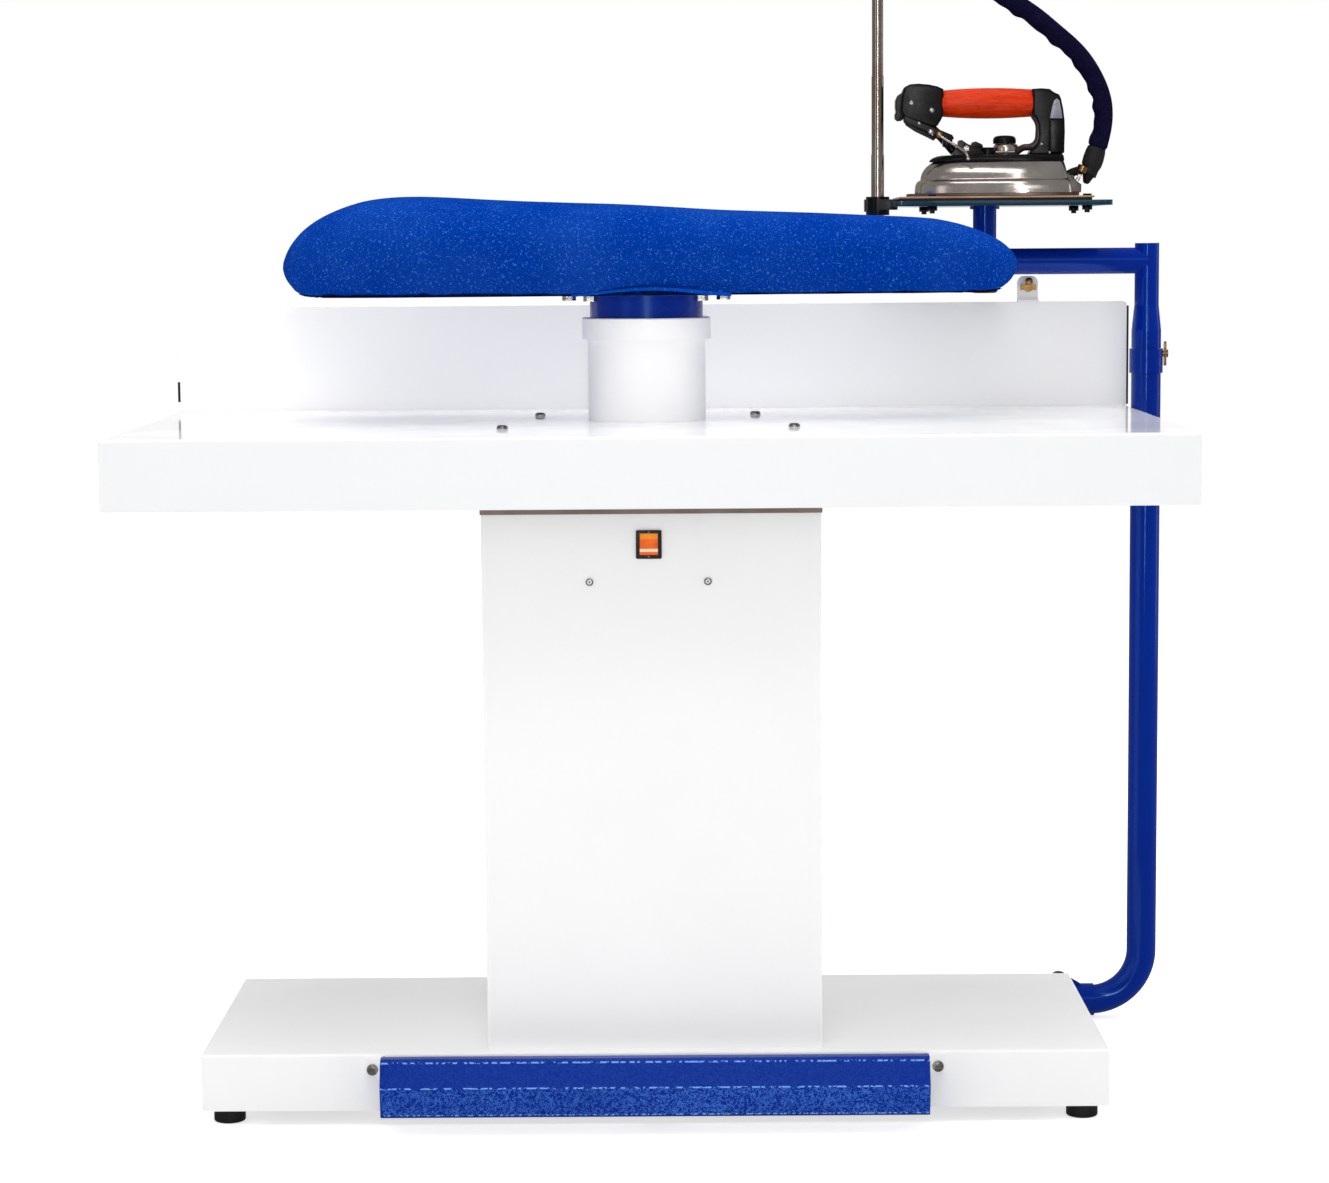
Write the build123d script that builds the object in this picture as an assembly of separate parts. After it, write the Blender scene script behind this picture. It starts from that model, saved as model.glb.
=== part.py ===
from build123d import *
import os
from math import cos, pi, radians, sin, sqrt, tan

# A vacuum ironing table: a padded form swivels on a suction duct over a tray, and a post carries a
# swinging iron rest. Millimetres. While it is built, X = 0 is the middle of the tray, Y = 0 its front
# edge and Z = 0 the floor. The last step moves the whole part so that its origin is bottom centre.

# Base box and feet
base_width = 946.0
base_depth = 355.0
base_front = 75.0
base_height = 60.0
base_sheet = 2.0
foot_height = 16.0
foot_radius = 16.5
foot_inset = 26.0
foot_flange = 62.0

# Column
column_width = 350.0
column_depth = 325.0
column_setback = 18.0
column_height = 560.0
column_sheet = 1.5
column_corner = 4.0
column_return = 22.0
gasket_thick = 5.0
gasket_proud = 1.0

# Tray and splash panel
tray_width = 1100.0
tray_depth = 550.0
support_height = 80.0
tray_top = foot_height + base_height + column_height + gasket_thick + support_height
tray_rim = 72.4
tray_sheet = 1.5
tray_corner = 3.0
tray_bolt_front = 152.0
tray_bolt_rear = 120.0
panel_height = 120.0
panel_overlap = 66.0
panel_thick = 12.0
panel_corner = 4.0

# Duct, collar and hub
duct_x = -5.0
duct_y = 320.0
duct_radius = 64.0
duct_wall = 5.0
duct_above_tray = 99.0
collar_radius = 70.0
collar_below = 11.0
collar_above = 12.0
hub_radius = 61.5
hub_wall = 3.0
hub_height = 34.5
ledge_thick = 1.5
flange_radius = 92.0
flange_half_depth = 68.0
flange_thick = 4.0
hub_bolt_circle = 84.0
hub_bolt_count = 8

# Ironing form
form_tail_radius = 130.0
form_tail_x = -272.0
form_nose_radius = 60.0
form_nose_x = 342.0
form_cover_thick = 3.0
form_hem = 12.0
form_wall_inset = 22.0
form_wall_shorten = 14.0
form_wall_bend = 10.0
form_pan_height = 38.0
form_pan_sheet = 2.0
form_hole_radius = 4.0
form_hole_pitch = 38.0
form_crown_tail = 110.0
form_crown_nose = 70.0
form_tip_height = 26.0
form_stations = 19
form_first_angle = 3.5

# Fan
fan_y = 255.0
plenum_half_width = 95.0
plenum_height = 60.0
duct_lower_end = tray_top - 181.0
volute_radius = 133.0
volute_height = 80.0
fan_inlet_radius = 55.0
impeller_radius = 112.0
impeller_blades = 12
motor_radius = 65.0
motor_height = 160.0
shaft_radius = 7.0
shelf_thick = 4.0

# Foot pedal
bracket_sheet = 2.0
pedal_width = 565.0
pedal_sheet = 2.5
pedal_reach = 50.0
pedal_top = 78.0
pedal_top_depth = 11.0
pedal_crease = 52.0
pedal_bottom = 17.0
pedal_pin_z = 62.0
pedal_pin_forward = 14.0
pedal_pin_radius = 4.0
spring_radius = 7.0
spring_wire = 1.6
spring_turns = 5.0

# Rocker switch
switch_x = -2.5
switch_z = tray_top - 116.5
bezel_width = 26.5
bezel_height = 29.5
rocker_width = 18.6
rocker_height = 22.6
rocker_tilt = 7.0

# Post, swivel and arm
post_x = 570.0
post_y = 530.0
post_radius = 17.0
post_wall = 2.0
elbow_top = 91.0
elbow_radius = 60.0
leg_z = 21.0
outrigger_sheet = 4.0
leg_end_x = 490.0
collar_low = tray_top + 38.0
collar_high = collar_low + 28.0
post_collar_radius = 19.2
post_seat = collar_high - 12.0
spigot_radius = 14.0
spigot_low = post_seat - 155.0
bush_low = post_seat - 85.0
swage_low = collar_high + 21.0
swage_high = swage_low + 29.0
post_high = swage_high + 71.0
arm_z = post_high - 20.0
arm_radius = 15.0
arm_wall = 2.0
rest_x = 383.0
rest_pipe_radius = 13.5
rest_pipe_low = arm_z - 27.0
rest_flange_radius = 17.0
rest_flange_thick = 3.0

# Iron rest and pole
glass_low = arm_z + 63.0
glass_thick = 6.0
glass_left = 273.0
glass_right = 532.0
glass_depth = 180.0
mat_thick = 3.0
mat_inset = 10.0
mat_depth = 150.0
mat_right = 508.0
sheet_thick = 2.0
pole_x = 260.0
pole_low = glass_low - 79.0
pole_step_1 = glass_low + 60.0
pole_step_2 = glass_low + 149.0
pole_top_z = glass_low + 255.0
pole_radius = 7.5
pole_wall = 0.45
pole_travel = 40.0
clamp_radius = 13.5
hanger_z = pole_top_z + 18.5

# Iron
iron_nose_x = 293.0
iron_rear_x = 486.0
iron_half_width = 57.0
iron_widest_x = 430.0
sole_thick = 7.0
skirt_lower = 11.0
skirt_upper = 20.0
top_cover_thick = 9.0
handle_radius = 16.0
handle_swell = 1.2
handle_left = 334.0
handle_right = 440.0
handle_z = glass_low + 118.5
knob_x = 405.5
knob_radius = 13.0
trigger_barrel = 3.0

# Hose and its fittings
hose_diameter = 22.0
upper_hose_diameter = 14.0
coupling_length = 26.0

# Clearances
running_gap = 0.05
seat_gap = 0.3
bolt_gap = 0.3

PARTS = {}


def span_box(x0, x1, y0, y1, z0, z1):
    """A box between two corners."""
    middle = Pos((x0 + x1) / 2, (y0 + y1) / 2, (z0 + z1) / 2)
    return middle * Box(x1 - x0, y1 - y0, z1 - z0)


def rod_z(x, y, z0, z1, radius):
    return Pos(x, y, (z0 + z1) / 2) * Cylinder(radius, z1 - z0)


def rod_x(x0, x1, y, z, radius):
    return Pos((x0 + x1) / 2, y, z) * Rot(0, 90, 0) * Cylinder(radius, x1 - x0)


def rod_y(x, y0, y1, z, radius):
    return Pos(x, (y0 + y1) / 2, z) * Rot(90, 0, 0) * Cylinder(radius, y1 - y0)


def rod_between(start, end, radius):
    """A round bar from one point to another."""
    line = Edge.make_line(start, end)
    plane = Plane(origin=start, z_dir=line.tangent_at(0))
    return plane * Cylinder(radius, line.length, align=(Align.CENTER, Align.CENTER, Align.MIN))


def hexagon_z(x, y, z0, z1, across):
    """A hexagon head or nut, across flats."""
    sketch = RegularPolygon(across / 2, 6, major_radius=False)
    return Pos(x, y, z0) * extrude(sketch, z1 - z0)


def folded_pan(x0, x1, y0, y1, z0, z1, corner, sheet):
    """A sheet pan with its open side down and rounded upper and upright edges."""
    outer = span_box(x0, x1, y0, y1, z0, z1)
    edges = outer.edges().filter_by(Axis.Z) + outer.edges().group_by(Axis.Z)[-1]
    outer = fillet(edges, corner)
    inner = span_box(x0 + sheet, x1 - sheet, y0 + sheet, y1 - sheet, z0 - 1, z1 - sheet)
    edges = inner.edges().filter_by(Axis.Z) + inner.edges().group_by(Axis.Z)[-1]
    return outer - fillet(edges, corner - sheet)


def add(name, *solids):
    """Keeps one or more separate solids as a named node."""
    found = []
    for solid in solids:
        found += list(solid.solids())
    PARTS[name] = found


# Places that follow from the driving sizes
base_back = base_front + base_depth
base_top = foot_height + base_height
column_front = base_front + column_setback
column_back = column_front + column_depth
column_top = base_top + column_height
gasket_top = column_top + gasket_thick
rim_bottom = tray_top - tray_rim
duct_top = tray_top + duct_above_tray
duct_bore = duct_radius - duct_wall
hub_bottom = duct_top + ledge_thick + running_gap
flange_low = hub_bottom + hub_height
flange_high = flange_low + flange_thick
pan_low = flange_high
plate_low = pan_low + form_pan_height
plate_high = plate_low + form_pan_sheet
shelf_low = duct_lower_end - plenum_height - volute_height - shelf_thick
shelf_high = shelf_low + shelf_thick
post_bore = post_radius - post_wall
tray_bolt_places = [(x, column_front + 57) for x in (-2.5 - tray_bolt_front, -2.5 + tray_bolt_front)]
tray_bolt_places += [(duct_x + x, column_back - 22) for x in (-tray_bolt_rear, tray_bolt_rear)]
rest_bolt_places = [(glass_left + 45, post_y + y) for y in (-60, 60)]
rest_bolt_places += [(mat_right - 5, post_y + y) for y in (-62, 62)]
front_screw_places = [(x, column_top - 70) for x in (-63.8, 58.0)]


def make_base():
    """The folded base box, with flanges for its feet and a slot for the pedal lever."""
    half = base_width / 2
    box = folded_pan(-half, half, base_front, base_back, foot_height, base_top, 3.0, base_sheet)
    for side in (-1, 1):
        near = side * (half - base_sheet / 2)
        far = side * (half - foot_flange)
        low, high = sorted((near, far))
        box += span_box(
            low, high, base_front + 1, base_back - 1, foot_height, foot_height + base_sheet
        )
    slot = span_box(-17, 17, base_front - 5, base_front + 5, 28, 64)
    box -= slot
    for x, z in outrigger_bolt_places():
        box -= rod_y(x, base_back - 6, base_back + 6, z, 3 + bolt_gap)
    for x in pedal_bolt_places():
        box -= rod_y(x, base_front - 6, base_front + 6, pedal_pin_z - 2, 3 + bolt_gap)
    add("base_box", box)
    feet = []
    for x in (-half + foot_inset, half - foot_inset):
        for y in (base_front + foot_inset, base_back - foot_inset):
            foot = rod_z(x, y, 0, foot_height, foot_radius)
            feet.append(fillet(foot.edges().group_by(Axis.Z)[0], 2.0))
    add("base_feet", *feet)


def outrigger_bolt_places():
    return [(441.0, 32.0), (441.0, 50.0)]


def pedal_bolt_places():
    away = pedal_width / 2 + 11.5
    return [-away, away]


def dome_bolt(place, length, head=6.0):
    """A domed bolt along -Z from its seat, to be placed by a location."""
    shank = Pos(0, 0, -length / 2) * Cylinder(3.0, length)
    cap = Cylinder(head, 4.0, align=(Align.CENTER, Align.CENTER, Align.MIN))
    cap = fillet(cap.edges().group_by(Axis.Z)[-1], 3.0)
    return place * (cap + shank)


def make_bolts():
    """Domed bolts: tray to column frame, pedal brackets and outrigger to base."""
    bolts = [dome_bolt(Pos(x, y, tray_top), 16) for x, y in tray_bolt_places]
    for x in pedal_bolt_places():
        seat = base_front - bracket_sheet
        bolts.append(dome_bolt(Pos(x, seat, pedal_pin_z - 2) * Rot(90, 0, 0), 12))
    for x, z in outrigger_bolt_places():
        seat = base_back + outrigger_sheet
        bolts.append(dome_bolt(Pos(x, seat, z) * Rot(-90, 0, 0), 12))
    add("dome_bolts", *bolts)


def make_column():
    """The column shell with open back, its rear cover, the gasket and the frame under the tray."""
    half = column_width / 2
    upright = span_box(-half, half, column_front, column_back, base_top, column_top)
    upright = fillet(upright.edges().filter_by(Axis.Z), column_corner)
    s = column_sheet
    hollow = span_box(
        -half + s, half - s, column_front + s, column_back - s, base_top - 1, column_top - s
    )
    hollow = fillet(hollow.edges().filter_by(Axis.Z), column_corner - s)
    shell = upright - hollow
    r = column_return
    shell -= span_box(-half + r, half - r, column_back - 5, column_back + 5, base_top - 1, column_top - r)
    shell -= span_box(
        -half + r, half - r, column_front + r, column_back - r, column_top - 5, column_top + 5
    )
    cut_w = bezel_width / 2 - 2.5
    cut_h = bezel_height / 2 - 2.5
    left, right = switch_x - cut_w, switch_x + cut_w
    shell -= span_box(
        left, right, column_front - 5, column_front + 5, switch_z - cut_h, switch_z + cut_h
    )
    for x, z in front_screw_places:
        shell -= rod_y(x, column_front - 5, column_front + 5, z, 2 + bolt_gap)
    for x, z in rear_screw_places():
        shell -= rod_y(x, column_back - 5, column_back + 5, z, 2 + bolt_gap)
    add("column_shell", shell)

    p = gasket_proud
    ring = span_box(-half - p, half + p, column_front - p, column_back + p, column_top, gasket_top)
    ring -= span_box(-half + r, half - r, column_front + r, column_back - r, column_top - 1, gasket_top + 1)
    add("top_gasket", ring)

    frame = folded_pan(
        -half, half, column_front, column_back, gasket_top, tray_top - tray_sheet, 3.0, 2.0
    )
    flange = span_box(-half + 1, half - 1, column_front + 1, column_back - 1, gasket_top, gasket_top + 2)
    flange -= span_box(
        -half + r, half - r, column_front + r, column_back - r, gasket_top - 1, gasket_top + 3
    )
    frame += flange
    frame -= rod_z(duct_x, duct_y, gasket_top, tray_top, duct_radius + 1)
    for x, y in tray_bolt_places:
        frame -= rod_z(x, y, tray_top - 20, tray_top, 3 + bolt_gap)
    add("tray_support_frame", frame)


def rear_screw_places():
    across = column_width / 2 - column_return / 2
    heights = (base_top + 34, (base_top + column_top) / 2, column_top - 46)
    return [(x, z) for x in (-across, across) for z in heights]


def make_rear_cover():
    """The removable rear cover, with louvre slots at the fan outlet."""
    half = column_width / 2 - 4
    cover = span_box(-half, half, column_back, column_back + 1.5, base_top + 6, column_top - 6)
    for row in range(7):
        z = shelf_high + 10 + row * 10
        cover -= span_box(40, 130, column_back - 2, column_back + 4, z - 2, z + 2)
    for x, z in rear_screw_places():
        cover -= rod_y(x, column_back - 5, column_back + 5, z, 2 + bolt_gap)
    add("column_rear_cover", cover)


def make_small_screws():
    """Small pan-head screws of one size: column front, rear cover and splash panel."""
    screws = []
    for x, z in front_screw_places:
        screws.append(pan_screw(Pos(x, column_front, z) * Rot(90, 0, 0)))
    for x, z in rear_screw_places():
        screws.append(pan_screw(Pos(x, column_back + 1.5, z) * Rot(-90, 0, 0)))
    for x in panel_screw_places():
        place = Pos(x, tray_depth + tray_sheet, rim_bottom + 30) * Rot(-90, 0, 0)
        screws.append(pan_screw(place))
    add("pan_head_screws", *screws)


def pan_screw(place):
    head = Cylinder(4.0, 2.2, align=(Align.CENTER, Align.CENTER, Align.MIN))
    head = fillet(head.edges().group_by(Axis.Z)[-1], 1.2)
    head -= Pos(0, 0, 2.0) * Box(5.0, 0.9, 1.6)
    shank = Pos(0, 0, -5) * Cylinder(2.0, 10)
    return place * (head + shank)


def panel_screw_places():
    return [-420.0, -140.0, 140.0, 420.0]


def make_tray():
    """The tray pan and the splash panel on its rear rim, with its edge trims."""
    half = tray_width / 2
    pan = folded_pan(-half, half, 0, tray_depth, rim_bottom, tray_top, tray_corner, tray_sheet)
    pan -= rod_z(duct_x, duct_y, tray_top - 5, tray_top + 5, duct_radius + seat_gap)
    for x, y in tray_bolt_places:
        pan -= rod_z(x, y, tray_top - 5, tray_top + 5, 3 + bolt_gap)
    for x in panel_screw_places():
        pan -= rod_y(x, tray_depth - 5, tray_depth + 5, rim_bottom + 30, 2 + bolt_gap)
    add("tray_pan", pan)

    top = tray_top + panel_height
    low = tray_top - panel_overlap
    back = tray_depth + panel_thick
    panel = span_box(-half, half, tray_depth, back, low, top)
    panel = fillet(panel.edges().filter_by(Axis.Y), panel_corner)
    s = tray_sheet
    hollow = span_box(-half + s, half - s, tray_depth + s, back + 1, low + s, top - s)
    panel -= fillet(hollow.edges().filter_by(Axis.Y), panel_corner - s)
    for x in panel_screw_places():
        panel -= rod_y(x, tray_depth - 5, tray_depth + 5, rim_bottom + 30, 2 + bolt_gap)
    add("splash_panel", panel)

    strip = span_box(half, half + 2.5, tray_depth + 1, back - 1, tray_top + 1, top - panel_corner - 1)
    bumper = span_box(-half - 3, -half, tray_depth + 1, back - 1, tray_top + 11, tray_top + 34)
    add("panel_edge_trim", strip, bumper)

    x0, x1 = 424.0, 448.0
    foot = span_box(x0, x1, tray_depth + 1, back, top, top + 2.5)
    upright = span_box(x0, x1, back - 2.5, back, top, top + 30)
    corners = upright.edges().filter_by(Axis.Y).group_by(Axis.Z)[-1]
    upright = fillet(corners, 8.0)
    slot = span_box(433, 440, back - 5, back + 5, top + 12, top + 22)
    add("panel_bracket", foot + upright - slot)

    stud = rod_y(436.5, back - 12, back + 3, top + 17, 3.0)
    nut = rod_y(436.5, back - 8, back - 2.5, top + 17, 5.5)
    wings = span_box(427, 446, back - 8, back - 5.5, top + 14, top + 20)
    knob = Pos(436.5, back - 13, top + 24) * Sphere(4.5)
    neck = rod_y(436.5, back - 13, back - 2.5, top + 24, 2.0)
    add("bracket_wing_nut", stud + nut + wings, neck + knob)


def make_duct():
    """The suction duct and the bearing collar on its end, with the ledge that carries the hub."""
    duct = rod_z(duct_x, duct_y, duct_lower_end, duct_top, duct_radius)
    duct -= rod_z(duct_x, duct_y, duct_lower_end - 1, duct_top + 1, duct_bore)
    add("duct_pipe", duct)

    low = duct_top - collar_below
    high = duct_top + collar_above
    collar = rod_z(duct_x, duct_y, low, high, collar_radius)
    collar = fillet(collar.edges().group_by(Axis.Z)[-1], 1.5)
    collar -= rod_z(duct_x, duct_y, low - 1, duct_top, duct_radius)
    ledge_top = duct_top + ledge_thick
    collar -= rod_z(duct_x, duct_y, duct_top - 1, ledge_top, duct_bore)
    collar -= rod_z(duct_x, duct_y, ledge_top, high + 1, hub_radius + running_gap)
    add("duct_collar", collar)


def make_fan():
    """The plenum and volute as one sheet housing, the shelf, the motor and the impeller."""
    low = shelf_high
    split = low + volute_height
    s = column_sheet
    w = plenum_half_width
    y0, y1 = fan_y - 92, duct_y + 80
    plenum = span_box(duct_x - w, duct_x + w, y0, y1, split, duct_lower_end)
    plenum -= span_box(duct_x - w + s, duct_x + w - s, y0 + s, y1 - s, split + s, duct_lower_end - s)
    plenum -= rod_z(duct_x, duct_y, duct_lower_end - 5, duct_lower_end + 5, duct_bore)
    seat = rod_z(duct_x, duct_y, duct_lower_end - s, duct_lower_end + 18, duct_radius + 3)
    seat -= rod_z(duct_x, duct_y, duct_lower_end, duct_lower_end + 30, duct_radius)
    seat -= rod_z(duct_x, duct_y, duct_lower_end - 5, duct_lower_end + 5, duct_bore)
    volute = rod_z(duct_x, fan_y, low, split, volute_radius)
    volute += span_box(38, duct_x + volute_radius, fan_y, column_back - s, low, split)
    hollow = rod_z(duct_x, fan_y, low + s, split - s, volute_radius - s)
    hollow += span_box(38 + s, duct_x + volute_radius - s, fan_y, column_back, low + s, split - s)
    housing = plenum + seat + volute - hollow
    housing -= rod_z(duct_x, fan_y, split - 5, split + 5, fan_inlet_radius)
    housing -= rod_z(duct_x, fan_y, low - 5, low + 5, 30)
    add("fan_housing", housing)

    half = column_width / 2 - column_sheet
    shelf = span_box(-half, half, column_front + 4, column_back - 4, shelf_low, low)
    shelf += span_box(-half, -half + 3, column_front + 6, column_back - 6, shelf_low - 25, low)
    shelf += span_box(half - 3, half, column_front + 6, column_back - 6, shelf_low - 25, low)
    shelf -= rod_z(duct_x, fan_y, shelf_low - 5, low + 5, 30)
    add("fan_shelf", shelf)

    motor = rod_z(duct_x, fan_y, shelf_low - 5, shelf_low, motor_radius + 12)
    motor += rod_z(duct_x, fan_y, shelf_low - motor_height, shelf_low, motor_radius)
    motor += rod_z(duct_x, fan_y, shelf_low - motor_height - 30, shelf_low, motor_radius - 14)
    box_x = duct_x + motor_radius
    motor += span_box(box_x - 8, box_x + 28, fan_y - 30, fan_y + 30, shelf_low - 126, shelf_low - 46)
    motor -= rod_z(duct_x, fan_y, shelf_low - 50, shelf_low + 5, shaft_radius + running_gap)
    add("fan_motor", motor)

    back_z = low + 8
    wheel = rod_z(duct_x, fan_y, back_z, back_z + 3, impeller_radius)
    wheel += rod_z(duct_x, fan_y, back_z, back_z + 30, 20)
    ring = rod_z(duct_x, fan_y, back_z + 57, back_z + 59, impeller_radius)
    wheel += ring - rod_z(duct_x, fan_y, back_z + 50, back_z + 65, 60)
    for i in range(impeller_blades):
        blade = Pos(86, 0, 30) * Rot(0, 0, 35) * Box(56, 2, 58)
        turned = Rot(0, 0, i * 360 / impeller_blades) * blade
        wheel += Pos(duct_x, fan_y, back_z) * turned
    rim = rod_z(duct_x, fan_y, back_z, back_z + 59, impeller_radius)
    wheel = wheel & rim
    wheel += rod_z(duct_x, fan_y, shelf_low - 45, back_z + 30, shaft_radius)
    add("fan_impeller", wheel)


def make_pedal():
    """The folded foot pedal on two pins, its return spring and the switch that it works."""
    half = pedal_width / 2
    front = base_front - pedal_reach
    outline = [
        (front + 14 + pedal_top_depth, pedal_top),
        (front + 14, pedal_top),
        (front, pedal_crease),
        (front + 6, pedal_bottom + 4),
        (front + 22, pedal_bottom),
    ]
    profile = trace(FilletPolyline(*outline, radius=4.0), pedal_sheet)
    pedal = extrude(Plane.YZ * profile, half, both=True)
    pin_y = base_front - pedal_pin_forward
    cheek_points = [
        (front + 8, pedal_top - 3),
        (pin_y + 8, pedal_top - 3),
        (pin_y + 8, pedal_pin_z - 8),
        (front + 22, pedal_bottom + 2),
        (front + 9, pedal_bottom + 6),
        (front + 3, pedal_crease),
    ]
    cheek = extrude(Plane.YZ * make_face(Polyline(*cheek_points, close=True)), pedal_sheet)
    pedal += Pos(-half, 0, 0) * cheek
    pedal += Pos(half - pedal_sheet, 0, 0) * cheek
    lever = span_box(-12, 12, front + 2, base_front + 48, 40, 44)
    pedal += lever
    for side in (-1, 1):
        low, high = sorted((side * (half - 10), side * (half + 10)))
        pedal -= rod_x(low, high, pin_y, pedal_pin_z, pedal_pin_radius + running_gap)
    add("foot_pedal", pedal)

    brackets = []
    for side in (-1, 1):
        inner = side * (half + 0.5)
        outer = side * (half + 0.5 + bracket_sheet)
        far = side * (half + 20)
        low, high = sorted((inner, outer))
        web = span_box(low, high, pin_y - 8, base_front, pedal_pin_z - 10, pedal_pin_z + 10)
        low, high = sorted((inner, far))
        foot = span_box(
            low, high, base_front - bracket_sheet, base_front, pedal_pin_z - 10, pedal_pin_z + 10
        )
        foot -= rod_y(side * (half + 11.5), base_front - 6, base_front + 2, pedal_pin_z - 2, 3 + bolt_gap)
        low, high = sorted((side * (half - 8), outer))
        pin = rod_x(low, high, pin_y, pedal_pin_z, pedal_pin_radius)
        brackets.append(web + foot + pin)
    add("pedal_brackets", *brackets)

    low = 44 + spring_wire / 2
    high = base_top - base_sheet - spring_wire / 2
    place = Pos(0, base_front + 40, low)
    path = place * Helix((high - low) / spring_turns, high - low, spring_radius)
    section = Plane(origin=path @ 0, z_dir=path % 0) * Circle(spring_wire / 2)
    add("pedal_spring", sweep(section, path=path, is_frenet=True))
    print("pedal spring pitch", round((high - low) / spring_turns, 2), "wire", spring_wire)

    body = span_box(-11, 11, base_front + 52, base_front + 80, 30, 52)
    plunger = span_box(-3, 3, base_front + 49, base_front + 52, 38, 42)
    hanger = span_box(-11, 11, base_front + 76, base_front + 80, 50, base_top - base_sheet)
    add("pedal_microswitch", body + plunger + hanger)


def make_switch():
    """The rocker switch: a bezel body through the column front and a tilting rocker."""
    y0 = column_front
    half_w, half_h = bezel_width / 2, bezel_height / 2
    outer = span_box(
        switch_x - half_w, switch_x + half_w, y0 - 2, y0, switch_z - half_h, switch_z + half_h
    )
    outer = fillet(outer.edges().filter_by(Axis.Y), 1.5)
    w = half_w - 2.5 - bolt_gap
    h = half_h - 2.5 - bolt_gap
    body = span_box(switch_x - w, switch_x + w, y0 - 1, y0 + 24, switch_z - h, switch_z + h)
    rw = rocker_width / 2 + seat_gap
    rh = rocker_height / 2 + seat_gap
    pocket = span_box(switch_x - rw, switch_x + rw, y0 - 5, y0 + 12, switch_z - rh, switch_z + rh)
    pivot_y = y0 + 1
    pin_reach = rocker_width / 2 + 0.8
    bezel = outer + body - pocket
    pin_hole = 1.2 + running_gap
    bezel -= rod_x(switch_x - pin_reach - 1, switch_x + pin_reach + 1, pivot_y, switch_z, pin_hole)
    add("switch_bezel", bezel)

    radius = rocker_height / 2
    front = 2.9
    tip = sqrt(radius**2 - front**2)
    rocker = rod_x(-rocker_width / 2, rocker_width / 2, 0, 0, radius)
    rocker &= span_box(-50, 50, -front, 4.5, -50, 50)
    valley = make_face(Polyline((-front, tip), (-front / 2, 0), (-front, -tip), close=True))
    rocker -= extrude(Plane.YZ * valley, 50, both=True)
    rocker += rod_x(-pin_reach, pin_reach, 0, 0, 1.2)
    rocker = Pos(switch_x, pivot_y, switch_z) * Rot(-rocker_tilt, 0, 0) * rocker
    add("switch_rocker", rocker)


def make_form():
    """The swivel form: hub, suction pan, perforated plate, foam pad and cloth cover."""
    hub = rod_z(duct_x, duct_y, hub_bottom, flange_low + 1, hub_radius)
    flange = rod_z(duct_x, duct_y, flange_low, flange_high, flange_radius)
    near, far = duct_y - flange_half_depth, duct_y + flange_half_depth
    flange &= span_box(duct_x - 200, duct_x + 200, near, far, flange_low, flange_high)
    hub += flange
    hub -= rod_z(duct_x, duct_y, hub_bottom - 1, flange_high + 1, hub_radius - hub_wall)
    for x, y in hub_bolt_places():
        hub -= rod_z(x, y, flange_low - 5, flange_high + 5, 4 + bolt_gap)
    add("form_hub", hub)

    bolts = []
    for x, y in hub_bolt_places():
        bolt = hexagon_z(x, y, flange_low - 5.5, flange_low, 13.0)
        bolt += rod_z(x, y, flange_low - 1, pan_low + 14, 4.0)
        bolts.append(bolt)
    add("hub_bolts", *bolts)

    s = form_pan_sheet
    bend = form_wall_bend
    pan = form_prism(form_wall_inset, pan_low, plate_low)
    pan = fillet(pan.edges().group_by(Axis.Z)[0], bend)
    hollow = form_prism(form_wall_inset + s, pan_low + s, plate_low + 1)
    pan -= fillet(hollow.edges().group_by(Axis.Z)[0], bend - s)
    pan -= rod_z(duct_x, duct_y, pan_low - 5, pan_low + 5, hub_radius - hub_wall)
    for x, y in hub_bolt_places():
        pan -= rod_z(x, y, pan_low - 5, pan_low + 5, 4 + bolt_gap)
    add("form_pan", pan)

    plate = form_prism(form_wall_inset, plate_low, plate_high)
    plate -= suction_holes()
    add("form_plate", plate)

    outer = form_loft(0)
    inner = form_loft(form_cover_thick)
    core = form_prism(form_wall_inset - seat_gap, pan_low - 20, plate_high + seat_gap)
    slab = span_box(-500, 500, 0, 700, pan_low, pan_low + 200)
    add("form_pad", (inner & slab) - core)

    mouth = form_prism(form_wall_inset + form_hem, flange_low - 30, pan_low + 1)
    room = 1.5
    around = rod_z(duct_x, duct_y, flange_low - 30, pan_low + 1, flange_radius + room)
    reach = flange_half_depth + room
    around &= span_box(-200, 200, duct_y - reach, duct_y + reach, flange_low - 30, pan_low + 1)
    mouth += around
    cover = outer - inner - mouth
    add("form_cover", cover)


def hub_bolt_places():
    places = []
    for i in range(hub_bolt_count):
        angle = i * 2 * pi / hub_bolt_count
        x = hub_bolt_circle * cos(angle)
        y = hub_bolt_circle * sin(angle)
        if abs(y) < flange_half_depth - 6:
            places.append((duct_x + x, duct_y + y))
    return places


def form_half_width(x, inset=0.0):
    """Half the form's width at a place along it: two end circles joined by straight sides."""
    tail, nose = form_tail_radius - inset, form_nose_radius - inset
    run = form_nose_x - form_tail_x
    lean = (tail - nose) / run
    tail_join = form_tail_x + tail * lean
    nose_join = form_nose_x + nose * lean
    if x <= tail_join:
        return sqrt(max(tail**2 - (x - form_tail_x) ** 2, 0.0))
    if x >= nose_join:
        return sqrt(max(nose**2 - (x - form_nose_x) ** 2, 0.0))
    share = (x - tail_join) / (nose_join - tail_join)
    upright = sqrt(1 - lean**2)
    return (tail * (1 - share) + nose * share) * upright


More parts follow.
